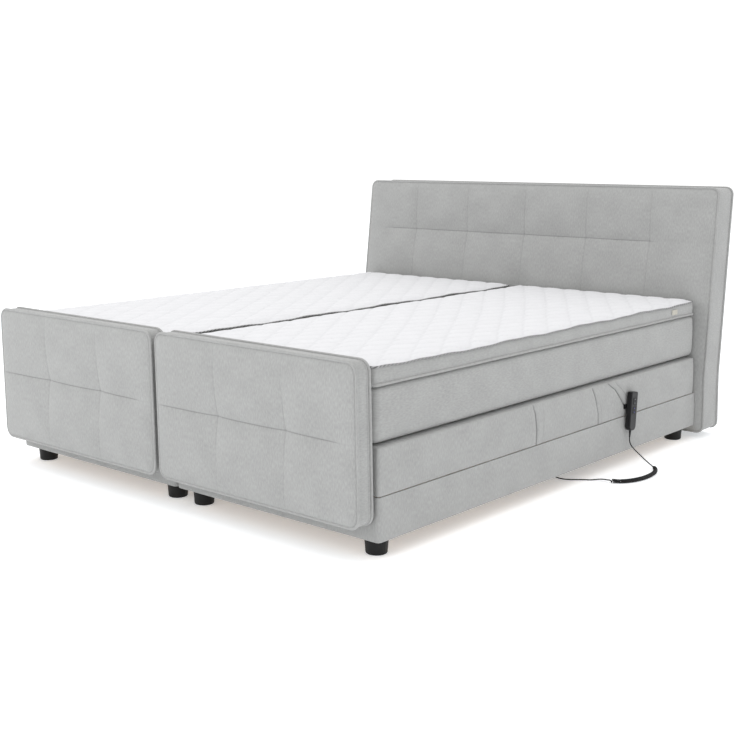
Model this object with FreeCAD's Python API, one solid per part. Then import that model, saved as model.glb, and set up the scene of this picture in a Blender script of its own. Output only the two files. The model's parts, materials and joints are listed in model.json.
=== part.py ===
import FreeCAD, Part
import math
import os

# A double adjustable bed: two equal halves side by side behind two footboards and
# before one wide headboard.  Millimetres, +Z up.  While it is modelled, X = 0 is the
# bed's middle, Y = 0 the foot end of the bases and Z = 0 the floor.  Every shape is
# moved back by Y_CENTRE when it is saved, so the origin is the bed's bottom centre.

# ---- Overall sizes ---------------------------------------------------------------
BASE_LENGTH = 2000.0
HALF_WIDTH = 896.0
CENTRE_GAP = 8.0
LEG_HEIGHT = 55.0
BASE_HEIGHT = 135.0
DECK_HEIGHT = 143.0
SEAM_GAP = 2.0
MATTRESS_HEIGHT = 177.0
TOPPER_HEIGHT = 62.0
MATTRESS_INSET = 12.0
TOPPER_INSET = 19.0

# ---- Boards, skins and legs ------------------------------------------------------
BOARD = 18.0
TOP_BOARD = 12.0
SKIN = 6.0
BOARD_DROP = 4.0
LEG_R = 37.5
LEG_FOOT_R = 33.0
LEG_ROUND = 5.0
LEG_INSET = 64.0
STUD_R = 5.0
STUD_LENGTH = 30.0
BLOCK = 110.0
BLOCK_HEIGHT = 40.0
BEAM_WIDTH = 36.0
BEAM_HEIGHT = 40.0
CROSS_HEIGHT = 55.0
HOLE_CLEARANCE = 0.05
OVERCUT = 1.0

# ---- Sections of the deck, from the head end; the foot section takes the rest ------
BACK_SECTION = 600.0
SEAT_SECTION = 220.0
THIGH_SECTION = 365.0
HINGE_DROP = 19.0
BACK_ANGLE = 45.0
THIGH_ANGLE = 30.0
BACK_SLANT = 28.0
FOLD_GAP = 1.0
BOARD_SETBACK = 20.0
TOP_SETBACK = 110.0
SIDE_PLAY = 1.0
BACK_SHORT = 14.0

# ---- Lift shafts, brackets and links -----------------------------------------------
TUBE_R = 15.0
TUBE_BORE_R = 12.0
JOURNAL_R = 10.0
BUSH_R = 13.0
LOBE_R = 17.0
PLATE = 6.0
ARM_GAP = 7.0
ARM_DEPTH = 19.0
BACK_ARM_LENGTH = 340.0
KNEE_ROD_R = 8.0
KNEE_EYE_R = 14.0
LINK_OFFSET_Y = 50.0
LINK_OFFSET_Z = 78.0
LINK_R = 12.0
LINK_PIN_R = 6.0
LINK_PIN_PLAY = 0.3
LINK_GAP = 4.0
LINK_WAIST = 3.0

# ---- Twin drive --------------------------------------------------------------------
LEVER = 120.0
SPINDLE_LIFT = 7.0
SHOE_R = 10.0
PRONG_X = 20.0
PRONG_TAPER = 0.8
SHOE_PLAY = 1.2
DRIVE_BLOCK = 32.0
SPINDLE_R = 7.0
SPINDLE_RISE = 28.0
CHANNEL_IN = 40.0
CHANNEL_WALL = 6.0
CHANNEL_FLOOR = 5.0
CHANNEL_HEIGHT = 55.0
CHANNEL_PLAY = 0.3
WING_RISE = 4.0
BOSS_HALF = 16.0
CENTRE_WALL = 8.0
DRIVE_ROOM = 20.0
GEARBOX = (70.0, 40.0, 54.0)
MOTOR_R = 24.0
MOTOR_LENGTH = 96.0

# ---- Control box -------------------------------------------------------------------
CONTROL_SIZE = (160.0, 90.0, 50.0)
CONTROL_GAP = 49.0
CORD_PORT_OFF = 7.0
PORT_LENGTH = 10.0
PORT_R = 6.0
MAINS_INLET = (28.0, 16.0, 20.0)
MAINS_INLET_OFF = 40.0

# ---- Headboard and footboards ------------------------------------------------------
HEAD_OVERHANG = 35.0
HEAD_GAP = 3.0
HEAD_BELOW_BASE = 30.0
HEAD_KINK_RISE = 65.0
HEAD_RISE = 453.0
HEAD_THICK = 132.0
HEAD_LEAN = 0.12
HEAD_CORNER_R = 30.0
HEAD_CORE_INSET = 32.0
FOOT_NARROWER = 16.0
FOOT_GAP = 16.0
FOOT_ABOVE_LEGS = 55.0
FOOT_RISE = 23.0
FOOT_THICK = 62.0
FOOT_LEAN = 12.0
FOOT_CORNER_R = 30.0
FOOT_CORE = 18.0
FOOT_CORE_INSET = 16.0
SPACER_WIDTH = 60.0
SPACER_HEIGHT = 50.0
BOLT_R = 4.0
BOLT_HEAD_R = 7.5
BOLT_HEAD = 5.0
BOLT_GRIP = 12.0
BOLT_INSET = 198.0
BOLT_DROP = 40.0

# ---- Handset -----------------------------------------------------------------------
HANDSET_LENGTH = 146.0
HANDSET_WIDTH = 45.0
HANDSET_BACK = 10.5
HANDSET_FRONT = 10.5
HANDSET_STANDOFF = 6.5
HANDSET_PAST_FOLD = 38.0
HANDSET_RISE = 20.0
HANDSET_TILT = 6.0
HANDSET_TOP_R = 7.0
HANDSET_FOOT_R = 18.0
HANDSET_WALL = 2.0
HANDSET_EDGE_R = 3.0
ROCKER_WIDTH = 20.0
ROCKER_HEIGHT = 26.0
ROCKER_DEPTH = 6.0
ROCKER_PROUD = 1.2
ROCKER_GAP = 0.6
ROCKER_Z = (38.0, 4.0)
HOOK_PAST_FOLD = 24.0
HOOK_RISE = 38.0
HOOK_PLATE = (20.0, 16.0, 3.0)
HOOK_OVERHANG = 4.0
HOOK_R = 3.5
HOOK_HEAD_R = 5.0
HOOK_HEAD = 2.0
HOOK_ENTRY = 3.5
HOOK_PLAY = 0.4
RELIEF_LENGTH = 26.0
RELIEF_R = 4.5

# ---- Handset lead ------------------------------------------------------------------
CORD_R = 2.3
CURL_R = 8.0
BEND_SHARE = 0.45
CURL_FIRST = 6
CURL_LAST = 14

# The route after the strain relief.  HANGING gives X and Y from the handset's middle and
# the height as a share of the relief's; CURLED gives X and Y from the handset's middle;
# UNDERNEATH gives X and Y from the control box's port.  The runs CURL_FIRST and CURL_LAST
# hold the ends of the curled stretch at their middles.
HANGING = [
    (0.0, -11.8, 0.872), (5.5, -9.5, 0.726), (18.5, -1.5, 0.569),
    (35.0, 8.5, 0.403), (52.0, 17.5, 0.242), (70.0, 21.5, 0.117)]
CURLED = [
    (91.0, 11.0, 8.1), (116.0, -18.0, 8.1), (132.0, -61.0, 8.1), (138.0, -112.0, 8.1),
    (134.0, -164.0, 8.1), (119.0, -212.0, 8.1), (92.0, -248.0, 8.1), (58.0, -261.0, 8.1),
    (32.0, -259.0, 8.1), (12.0, -262.0, 4.5), (-3.0, -277.0, 2.5)]
UNDERNEATH = [
    (140.0, 35.0, 2.5), (118.0, 16.0, 2.5), (94.0, -4.0, 2.5), (68.0, -11.0, 2.5),
    (42.0, -6.0, 3.0), (21.0, -1.0, 9.0), (6.0, 0.5, 24.0), (0.5, 0.0, 47.0)]

# ---- Worked out from the sizes above ------------------------------------------------
BACK_Y = BASE_LENGTH - BACK_SECTION
THIGH_Y = BACK_Y - SEAT_SECTION
KNEE_Y = THIGH_Y - THIGH_SECTION
BACK_END = BASE_LENGTH - BACK_SHORT
BASE_TOP = LEG_HEIGHT + BASE_HEIGHT
DECK_BOTTOM = BASE_TOP + SEAM_GAP
DECK_TOP = DECK_BOTTOM + DECK_HEIGHT
MATTRESS_TOP = DECK_TOP + MATTRESS_HEIGHT
TOPPER_TOP = MATTRESS_TOP + TOPPER_HEIGHT
HINGE_Z = DECK_TOP - HINGE_DROP
UNDERSIDE = DECK_TOP - TOP_BOARD
BOARD_BOTTOM = DECK_BOTTOM + BOARD_DROP
OUT_X = HALF_WIDTH / 2
RAIL_OUT = OUT_X - SKIN
RAIL_IN = RAIL_OUT - BOARD
MOVING_IN = RAIL_IN + SIDE_PLAY
PLATE_IN = RAIL_IN - PLATE
ARM_OUT = PLATE_IN - ARM_GAP
ARM_IN = ARM_OUT - PLATE
LINK_OUT = ARM_IN - LINK_GAP
LINK_IN = LINK_OUT - PLATE
HALF_X = (HALF_WIDTH + CENTRE_GAP) / 2
SIDES = {"right": HALF_X, "left": -HALF_X}
SPINDLE_Z = HINGE_Z - LEVER + SPINDLE_LIFT
BEAM_TOP = SPINDLE_Z - SPINDLE_RISE
LINK_ROOT = (THIGH_Y - LINK_OFFSET_Y, HINGE_Z - LINK_OFFSET_Z)
LINK_FOOT = (KNEE_Y - LINK_OFFSET_Y, HINGE_Z - LINK_OFFSET_Z)
BACK_TIP_Y = BACK_Y - LEVER * math.sin(math.radians(BACK_ANGLE / 2))
THIGH_TIP_Y = THIGH_Y + LEVER * math.sin(math.radians(THIGH_ANGLE / 2))
BACK_BLOCK_Y = BACK_TIP_Y - SHOE_R - SHOE_PLAY - DRIVE_BLOCK
LEG_BLOCK_Y = THIGH_TIP_Y + SHOE_R + SHOE_PLAY
BACK_STROKE = 2 * (BACK_Y - BACK_TIP_Y)
LEG_STROKE = 2 * (THIGH_TIP_Y - THIGH_Y)
WALL_Y = (LEG_BLOCK_Y + DRIVE_BLOCK + BACK_BLOCK_Y - CENTRE_WALL) / 2
CHANNEL_START = LEG_BLOCK_Y - LEG_STROKE - 2 * SHOE_R - DRIVE_ROOM - CHANNEL_WALL
CHANNEL_END = BACK_BLOCK_Y + DRIVE_BLOCK + BACK_STROKE + 2 * SHOE_R + DRIVE_ROOM + CHANNEL_WALL
DRIVE_BEAMS = (CHANNEL_START - BEAM_WIDTH / 2, CHANNEL_END - BEAM_WIDTH / 2)
FOOT_BEAM = DRIVE_BEAMS[0] / 2 - BEAM_WIDTH
CONTROL_X = RAIL_IN - CONTROL_GAP - CONTROL_SIZE[0] / 2
CORD_PORT_X = CONTROL_X + CORD_PORT_OFF
CORD_PORT_Y = CHANNEL_START
BOLT_X = OUT_X - BOLT_INSET
BOLT_Z = BASE_TOP - BOLT_DROP
HANDSET_X = HALF_X + OUT_X + HANDSET_STANDOFF + HANDSET_BACK
HANDSET_Y = BACK_Y + HANDSET_PAST_FOLD
HANDSET_Z = BASE_TOP + HANDSET_RISE
HOOK_Y = BACK_Y + HOOK_PAST_FOLD
HOOK_Z = BASE_TOP + HOOK_RISE
HEAD_BOTTOM = LEG_HEIGHT - HEAD_BELOW_BASE
HEAD_KINK = BASE_TOP + HEAD_KINK_RISE
HEAD_TOP = TOPPER_TOP + HEAD_RISE
FOOT_BOTTOM = LEG_HEIGHT + FOOT_ABOVE_LEGS
FOOT_TOP = TOPPER_TOP + FOOT_RISE
HEAD_WIDTH = 2 * (HALF_X + OUT_X + HEAD_OVERHANG)
FOOT_WIDTH = HALF_WIDTH - FOOT_NARROWER
HEAD_FRONT = BASE_LENGTH + HEAD_GAP
Y_MIN = -(FOOT_GAP + FOOT_THICK + FOOT_LEAN)
Y_MAX = HEAD_FRONT + HEAD_THICK + HEAD_LEAN * (HEAD_TOP - HEAD_KINK)
Y_CENTRE = (Y_MIN + Y_MAX) / 2

vec = FreeCAD.Vector


# ---- Simple shapes -------------------------------------------------------------------
def box(x, y, z):
    """A block between the two ends given for each direction."""
    return Part.makeBox(x[1] - x[0], y[1] - y[0], z[1] - z[0], vec(x[0], y[0], z[0]))


def plate_x(outline, x):
    """A flat plate with an outline of (Y, Z) points, between two X ends."""
    corners = [vec(x[0], y, z) for y, z in outline]
    face = Part.Face(Part.makePolygon(corners + corners[:1]))
    return face.extrude(vec(x[1] - x[0], 0, 0))


def rod_x(centre, radius, x):
    """A round bar along X."""
    return Part.makeCylinder(radius, x[1] - x[0], vec(x[0], *centre), vec(1, 0, 0))


def rod_y(centre, radius, y):
    """A round bar along Y, with its (X, Z) centre."""
    start = vec(centre[0], y[0], centre[1])
    return Part.makeCylinder(radius, y[1] - y[0], start, vec(0, 1, 0))


def mirrored(shape):
    return shape.mirror(vec(0, 0, 0), vec(1, 0, 0))


def both(shape):
    """The shape and its mirror image on the other side of X = 0."""
    return [shape, mirrored(shape)]


def fused(shapes):
    return shapes[0].multiFuse(shapes[1:]).removeSplitter()


def rounded_front(width, z, radii, y):
    """A board seen from the front: bottom and top corner radii, between two Y ends."""
    half = width / 2
    low, high = radii
    corners = [(half, z[0], low), (half, z[1], high), (-half, z[1], high), (-half, z[0], low)]
    block = box((-half, half), y, z)
    for x, corner_z, radius in corners:
        inward = vec(-math.copysign(radius, x), 0, radius if corner_z == z[0] else -radius)
        square = [vec(x, y[0], corner_z), vec(x + inward.x, y[0], corner_z),
                  vec(x + inward.x, y[0], corner_z + inward.z), vec(x, y[0], corner_z + inward.z)]
        waste = Part.Face(Part.makePolygon(square + square[:1])).extrude(vec(0, y[1] - y[0], 0))
        keep = rod_y((x + inward.x, corner_z + inward.z), radius, y)
        block = block.cut(waste.cut(keep))
    return block


# ---- Lower frame -----------------------------------------------------------------------
def leg_places():
    x = OUT_X - LEG_INSET
    return [(side * x, y) for side in (1, -1) for y in (LEG_INSET, BASE_LENGTH - LEG_INSET)]


def stud_hole(x, y):
    return Part.makeCylinder(STUD_R + HOLE_CLEARANCE, BLOCK_HEIGHT, vec(x, y, LEG_HEIGHT))


def bolt_holes(y):
    """The two bolt holes through an end rail and what lies before or behind it."""
    return [rod_y((side * BOLT_X, BOLT_Z), BOLT_R + HOLE_CLEARANCE, y) for side in (1, -1)]


def cut_all(shape, tools):
    for tool in tools:
        shape = shape.cut(tool)
    return shape


def base_frame():
    z = (LEG_HEIGHT, BASE_TOP - BOARD_DROP)
    inner = SKIN + BOARD
    solids = both(box((RAIL_IN, RAIL_OUT), (inner, BASE_LENGTH - inner), z))
    for y0 in (SKIN, BASE_LENGTH - inner):
        rail = box((-RAIL_OUT, RAIL_OUT), (y0, y0 + BOARD), z)
        solids.append(cut_all(rail, bolt_holes((y0 - BOARD, y0 + 2 * BOARD))))
    for x, y in leg_places():
        x0 = RAIL_IN - BLOCK if x > 0 else -RAIL_IN
        y0 = inner if y < BASE_LENGTH / 2 else BASE_LENGTH - inner - BLOCK
        block = box((x0, x0 + BLOCK), (y0, y0 + BLOCK), (LEG_HEIGHT, LEG_HEIGHT + BLOCK_HEIGHT))
        solids.append(block.cut(stud_hole(x, y)))
    for y0 in (FOOT_BEAM,) + DRIVE_BEAMS:
        beam_z = (BEAM_TOP - BEAM_HEIGHT, BEAM_TOP)
        solids.append(box((-RAIL_IN, RAIL_IN), (y0, y0 + BEAM_WIDTH), beam_z))
    return solids


def base_cover():
    z = (LEG_HEIGHT, BASE_TOP)
    solids = both(box((RAIL_OUT, OUT_X), (0, BASE_LENGTH), z))
    for y0 in (0, BASE_LENGTH - SKIN):
        panel = box((-RAIL_OUT, RAIL_OUT), (y0, y0 + SKIN), z)
        solids.append(cut_all(panel, bolt_holes((y0 - SKIN, y0 + 2 * SKIN))))
    return solids


def legs():
    solids = []
    for x, y in leg_places():
        foot = Part.makeCone(LEG_FOOT_R, LEG_R, LEG_HEIGHT, vec(x, y, 0))
        rim = [edge for edge in foot.Edges if edge.BoundBox.ZMax < OVERCUT and edge.Closed]
        foot = foot.makeFillet(LEG_ROUND, rim)
        stud = Part.makeCylinder(STUD_R, STUD_LENGTH, vec(x, y, LEG_HEIGHT))
        solids.append(foot.fuse(stud))
    return solids


# ---- Pivot brackets and bushes -----------------------------------------------------------
def pivot_bracket():
    x = (PLATE_IN, RAIL_IN)
    low = LEG_HEIGHT + BLOCK_HEIGHT
    start = DRIVE_BEAMS[0] + BEAM_WIDTH + SIDE_PLAY
    end = BACK_Y + LOBE_R
    shapes = [box(x, (start, end), (low, HINGE_Z - LOBE_R))]
    for y in (THIGH_Y, BACK_Y):
        shapes.append(box(x, (y - LOBE_R, y + LOBE_R), (HINGE_Z - 2 * LOBE_R, HINGE_Z)))
        shapes.append(rod_x((y, HINGE_Z), LOBE_R, x))
    y, z = LINK_ROOT
    shapes.append(rod_x((y, z), LOBE_R, x))
    shapes.append(box(x, (y, start + LOBE_R), (z - LOBE_R, z + LOBE_R)))
    plate = fused(shapes)
    for y in (THIGH_Y, BACK_Y):
        plate = plate.cut(rod_x((y, HINGE_Z), BUSH_R, x))
    plate = plate.cut(rod_x(LINK_ROOT, LINK_PIN_R + HOLE_CLEARANCE, x))
    return both(plate)


def pivot_bushes():
    solids = []
    for y in (THIGH_Y, BACK_Y):
        x = (PLATE_IN, RAIL_IN)
        ring = rod_x((y, HINGE_Z), BUSH_R, x)
        solids += both(ring.cut(rod_x((y, HINGE_Z), JOURNAL_R + HOLE_CLEARANCE, x)))
    return solids


# ---- Deck section outlines ---------------------------------------------------------------
def slant(height, angle):
    return height * math.tan(math.radians(angle))


def slanted_back(z, away):
    """Y of the slanted joint between seat and back at a height below the hinge."""
    return BACK_Y + slant(HINGE_Z - z, BACK_SLANT) + away


def seat_outline(low, high, gap):
    """The seat's side: upright at the thigh, slanting under the back section."""
    return [(THIGH_Y + gap, low), (slanted_back(low, -gap), low), (BACK_Y - gap, HINGE_Z),
            (BACK_Y - gap, high), (THIGH_Y + gap, high)]


def back_outline(low, high, gap, end):
    above = slant(high - HINGE_Z, BACK_ANGLE)
    return [(slanted_back(low, gap), low), (end, low), (end, high),
            (BACK_Y + gap + above, high), (BACK_Y + gap, HINGE_Z)]


def thigh_outline(low, high, gap):
    """Cut back above the seat hinge for its lift and below the knee for the foot's fold."""
    above = slant(high - HINGE_Z, THIGH_ANGLE)
    below = slant(HINGE_Z - low, THIGH_ANGLE / 2)
    return [(KNEE_Y + gap + below, low), (THIGH_Y - gap, low), (THIGH_Y - gap, HINGE_Z),
            (THIGH_Y - gap - above, high), (KNEE_Y + gap, high), (KNEE_Y + gap, HINGE_Z)]


def foot_outline(low, high, gap, start):
    below = slant(HINGE_Z - low, THIGH_ANGLE / 2)
    return [(start, low), (KNEE_Y - gap - below, low), (KNEE_Y - gap, HINGE_Z),
            (KNEE_Y - gap, high), (start, high)]


def side_skins(outline):
    return both(plate_x(outline, (RAIL_OUT, OUT_X)))


def side_boards(outline, inner=MOVING_IN):
    return both(plate_x(outline, (inner, RAIL_OUT)))


def end_panel(y0):
    return box((-RAIL_OUT, RAIL_OUT), (y0, y0 + SKIN), (DECK_BOTTOM, DECK_TOP))


def top_board(y):
    return box((-RAIL_OUT, RAIL_OUT), y, (UNDERSIDE, DECK_TOP))


def cross_board(y0, low, half=MOVING_IN):
    return box((-half, half), (y0, y0 + BOARD), (low, UNDERSIDE))


# ---- Seat section, fixed to the base -------------------------------------------------------
def seat_frame():
    solids = side_boards(seat_outline(BOARD_BOTTOM, UNDERSIDE, BOARD_SETBACK), RAIL_IN)
    solids.append(top_board((THIGH_Y + BOARD_SETBACK, BACK_Y - BOARD_SETBACK)))
    middle = (THIGH_Y + BACK_Y - BOARD) / 2
    solids.append(cross_board(middle, UNDERSIDE - CROSS_HEIGHT, PLATE_IN))
    return solids


def seat_cover():
    return side_skins(seat_outline(DECK_BOTTOM, DECK_TOP, FOLD_GAP))


# ---- Moving frames and covers ----------------------------------------------------------------
def back_frame():
    end = BACK_END - SKIN
    outline = back_outline(BOARD_BOTTOM, UNDERSIDE, BOARD_SETBACK, end)
    solids = side_boards(outline)
    solids.append(top_board((BACK_Y + TOP_SETBACK, end)))
    solids.append(cross_board(BACK_Y + BACK_ARM_LENGTH + BOARD, UNDERSIDE - CROSS_HEIGHT))
    solids.append(cross_board(end - BOARD, BOARD_BOTTOM))
    return solids


def back_cover():
    outline = back_outline(DECK_BOTTOM, DECK_TOP, FOLD_GAP, BACK_END)
    return side_skins(outline) + [end_panel(BACK_END - SKIN)]


def thigh_frame():
    outline = thigh_outline(BOARD_BOTTOM, UNDERSIDE, BOARD_SETBACK)
    solids = side_boards(outline)
    solids.append(top_board((KNEE_Y + BOARD_SETBACK, THIGH_Y - BOARD_SETBACK)))
    middle = (KNEE_Y + THIGH_Y - BOARD) / 2
    x = (-ARM_IN + PLATE, ARM_IN - PLATE)
    solids.append(box(x, (middle, middle + BOARD), (UNDERSIDE - CROSS_HEIGHT, UNDERSIDE)))
    return solids


def thigh_cover():
    return side_skins(thigh_outline(DECK_BOTTOM, DECK_TOP, FOLD_GAP))


def foot_frame():
    knee = (KNEE_Y, HINGE_Z)
    outline = foot_outline(BOARD_BOTTOM, UNDERSIDE, FOLD_GAP, SKIN)
    x = (MOVING_IN, RAIL_OUT)
    nose = rod_x(knee, LOBE_R, (MOVING_IN, RAIL_OUT - SIDE_PLAY))
    board = fused([plate_x(outline, x), nose])
    board = board.cut(rod_x(knee, KNEE_ROD_R + HOLE_CLEARANCE, x))
    board = board.cut(rod_x(LINK_FOOT, LINK_PIN_R + LINK_PIN_PLAY, x))
    board = board.cut(knee_relief(x))
    solids = both(board)
    solids.append(top_board((SKIN, KNEE_Y - BOARD_SETBACK)))
    solids.append(cross_board(SKIN, BOARD_BOTTOM))
    third = KNEE_Y / 3
    for y0 in (third, 2 * third):
        solids.append(cross_board(y0, UNDERSIDE - CROSS_HEIGHT))
    return solids


def knee_relief(x):
    """Room over the knee eye, so that the foot board's corner clears the top board."""
    y = (KNEE_Y - BOARD_SETBACK, KNEE_Y + LOBE_R)
    corner = box(x, y, (UNDERSIDE, DECK_TOP))
    return corner.cut(rod_x((KNEE_Y, HINGE_Z), LOBE_R, x))


def foot_cover():
    outline = foot_outline(DECK_BOTTOM, DECK_TOP, FOLD_GAP, 0)
    return side_skins(outline) + [end_panel(0)]


# ---- Mattresses and toppers --------------------------------------------------------------------
def soft_section(section, low, high, inset):
    """One section of a mattress or topper, cut back where the foam folds."""
    x = (-OUT_X + inset, OUT_X - inset)
    above_low = low - HINGE_Z
    above_high = high - HINGE_Z
    gap = FOLD_GAP
    if section == "back":
        start = [(BACK_Y + gap + slant(above_low, BACK_ANGLE), low),
                 (BACK_Y + gap + slant(above_high, BACK_ANGLE), high)]
        end = [(BASE_LENGTH, high), (BASE_LENGTH, low)]
    elif section == "seat":
        start = [(THIGH_Y + gap, low), (THIGH_Y + gap, high)]
        end = [(BACK_Y - gap, high), (BACK_Y - gap, low)]
    elif section == "thigh":
        start = [(KNEE_Y + gap, low), (KNEE_Y + gap, high)]
        end = [(THIGH_Y - gap - slant(above_high, THIGH_ANGLE), high),
               (THIGH_Y - gap - slant(above_low, THIGH_ANGLE), low)]
    else:
        start = [(0, low), (0, high)]
        end = [(KNEE_Y - gap, high), (KNEE_Y - gap, low)]
    return [plate_x(start + end, x)]


def mattress(section):
    return soft_section(section, DECK_TOP, MATTRESS_TOP, MATTRESS_INSET)


def topper(section):
    return soft_section(section, MATTRESS_TOP, TOPPER_TOP, TOPPER_INSET)


# ---- Lift shafts and links -----------------------------------------------------------------------
def prong(pivot_y, angle):
    """One prong of the fork lever, hanging from the tube and leaning by an angle."""
    x = (PRONG_X, PRONG_X + PLATE)
    tip = (pivot_y + LEVER * math.sin(math.radians(angle)),
           HINGE_Z - LEVER * math.cos(math.radians(angle)))
    lean = vec(0, tip[0] - pivot_y, tip[1] - HINGE_Z).normalize()
    across = vec(0, -lean.z, lean.y)
    root = vec(0, pivot_y, HINGE_Z)
    shoe = vec(0, *tip)
    corners = [root + across * TUBE_R, shoe + across * SHOE_R * PRONG_TAPER,
               shoe - across * SHOE_R * PRONG_TAPER, root - across * TUBE_R]
    web = plate_x([(corner.y, corner.z) for corner in corners], x)
    return fused([web, rod_x(tip, SHOE_R, x)])


def lift_shaft(pivot_y, lever_angle, arm):
    pivot = (pivot_y, HINGE_Z)
    tube = rod_x(pivot, TUBE_R, (-ARM_OUT, ARM_OUT))
    shapes = [tube, arm, mirrored(arm)]
    shapes += both(prong(pivot_y, lever_angle))
    shapes += both(rod_x(pivot, JOURNAL_R, (ARM_OUT, RAIL_IN)))
    shaft = fused(shapes)
    bore = rod_x(pivot, TUBE_BORE_R, (-ARM_IN + PLATE, ARM_IN - PLATE))
    return [shaft.cut(bore)]


def back_lift_shaft():
    x = (ARM_IN, ARM_OUT)
    arm = box(x, (BACK_Y, BACK_Y + BACK_ARM_LENGTH), (UNDERSIDE - ARM_DEPTH, UNDERSIDE))
    return lift_shaft(BACK_Y, -BACK_ANGLE / 2, arm)


def thigh_lift_shaft():
    x = (ARM_IN, ARM_OUT)
    knee = (KNEE_Y, HINGE_Z)
    bar = box(x, (KNEE_Y, THIGH_Y), (UNDERSIDE - ARM_DEPTH, UNDERSIDE))
    rod = rod_x(knee, KNEE_ROD_R, (0, RAIL_OUT - SIDE_PLAY))
    arm = fused([bar, rod_x(knee, KNEE_EYE_R, x), rod])
    return lift_shaft(THIGH_Y, THIGH_ANGLE / 2, arm)


def foot_links():
    """Bars parallel to the thigh: one end pinned to the bracket, the other in the foot board."""
    x = (LINK_IN, LINK_OUT)
    y, z = LINK_FOOT
    bar = box(x, (y, LINK_ROOT[0]), (z - LINK_R + LINK_WAIST, z + LINK_R - LINK_WAIST))
    shapes = [bar, rod_x(LINK_ROOT, LINK_R, x), rod_x(LINK_FOOT, LINK_R, x),
              rod_x(LINK_ROOT, LINK_PIN_R, (LINK_OUT, RAIL_IN)),
              rod_x(LINK_FOOT, LINK_PIN_R, (LINK_OUT, RAIL_OUT - SIDE_PLAY))]
    return both(fused(shapes))


# ---- Twin drive ---------------------------------------------------------------------------------
def spindle_hole(y):
    return rod_y((0, SPINDLE_Z), SPINDLE_R + HOLE_CLEARANCE, y)


def drive_block(y0):
    """A nut with low wings for the prongs to lean on and a higher boss round the spindle."""
    x = CHANNEL_IN - CHANNEL_PLAY
    y = (y0, y0 + DRIVE_BLOCK)
    low = BEAM_TOP + CHANNEL_FLOOR + CHANNEL_PLAY
    wings = box((-x, x), y, (low, SPINDLE_Z + WING_RISE))
    boss = box((-BOSS_HALF, BOSS_HALF), y, (low, BEAM_TOP + CHANNEL_HEIGHT - CHANNEL_WALL))
    return [fused([wings, boss]).cut(spindle_hole(y))]


def drive_housing():
    x_out = CHANNEL_IN + CHANNEL_WALL
    floor_top = BEAM_TOP + CHANNEL_FLOOR
    top = BEAM_TOP + CHANNEL_HEIGHT
    y = (CHANNEL_START, CHANNEL_END)
    shapes = [box((-x_out, x_out), y, (BEAM_TOP, floor_top))]
    shapes += both(box((CHANNEL_IN, x_out), y, (BEAM_TOP, top)))
    for start, thick in ((y[0], CHANNEL_WALL), (WALL_Y, CENTRE_WALL), (y[1] - CHANNEL_WALL, CHANNEL_WALL)):
        span = (start, start + thick)
        shapes.append(box((-CHANNEL_IN, CHANNEL_IN), span, (BEAM_TOP, top - CHANNEL_WALL)))
    return [fused(shapes).cut(spindle_hole((y[0], y[1])))]


def drive_motors():
    """A motor with its gearbox and spindle at each end of the housing."""
    solids = []
    middle = WALL_Y + CENTRE_WALL / 2
    ends = ((CHANNEL_END, 1, middle + CHANNEL_PLAY), (CHANNEL_START, -1, middle - CHANNEL_PLAY))
    for face, way, tip in ends:
        width, depth, height = GEARBOX
        gear_y = sorted((face, face + way * depth))
        motor_y = sorted((face + way * depth, face + way * (depth + MOTOR_LENGTH)))
        gearbox = box((-width / 2, width / 2), gear_y, (SPINDLE_Z - height / 2, SPINDLE_Z + height / 2))
        spindle = rod_y((0, SPINDLE_Z), SPINDLE_R, sorted((face, tip)))
        motor = rod_y((0, SPINDLE_Z), MOTOR_R, motor_y)
        solids.append(fused([gearbox, motor, spindle]))
    return solids


def control_box():
    length, depth, height = CONTROL_SIZE
    top = BEAM_TOP - BEAM_HEIGHT
    y = (CORD_PORT_Y - depth / 2, CORD_PORT_Y + depth / 2)
    x = (CONTROL_X - length / 2, CONTROL_X + length / 2)
    case = box(x, y, (top - height, top))
    port = Part.makeCylinder(PORT_R, PORT_LENGTH, vec(CORD_PORT_X, CORD_PORT_Y, top - height - PORT_LENGTH))
    wide, high, deep = MAINS_INLET
    inlet_x = (x[0] + MAINS_INLET_OFF - wide / 2, x[0] + MAINS_INLET_OFF + wide / 2)
    inlet_z = (top - height / 2 - high / 2, top - height / 2 + high / 2)
    inlet = box(inlet_x, (y[0], y[0] + deep), inlet_z)
    return [fused([case, port]).cut(inlet)]


# ---- Headboard -------------------------------------------------------------------------------------
def head_profile(inset):
    """The headboard seen from the side: upright below the kink, leaning back above it."""
    low, high = HEAD_BOTTOM + inset, HEAD_TOP - inset
    lean = HEAD_LEAN * (high - HEAD_KINK)
    front, rear = HEAD_FRONT + inset, HEAD_FRONT + HEAD_THICK - inset
    return [(front, low), (rear, low), (rear, HEAD_KINK), (rear + lean, high),
            (front + lean, high), (front, HEAD_KINK)]


def head_solid(inset):
    half = HEAD_WIDTH / 2 - inset
    profile = plate_x(head_profile(inset), (-half, half))
    low, high = HEAD_BOTTOM + inset, HEAD_TOP - inset
    front = rounded_front(2 * half, (low, high), (HEAD_CORNER_R / 3, HEAD_CORNER_R),
                          (HEAD_FRONT - OVERCUT, Y_MAX + OVERCUT))
    return profile.common(front)


def head_bolt_holes():
    y = (HEAD_FRONT - HEAD_GAP, HEAD_FRONT + HEAD_CORE_INSET + BOLT_GRIP)
    return [hole.translated(vec(x, 0, 0)) for x in SIDES.values() for hole in bolt_holes(y)]


def headboard_core():
    return [cut_all(head_solid(HEAD_CORE_INSET), head_bolt_holes())]


def headboard_cushion():
    cushion = head_solid(0).cut(head_solid(HEAD_CORE_INSET))
    return [cut_all(cushion, head_bolt_holes())]


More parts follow.
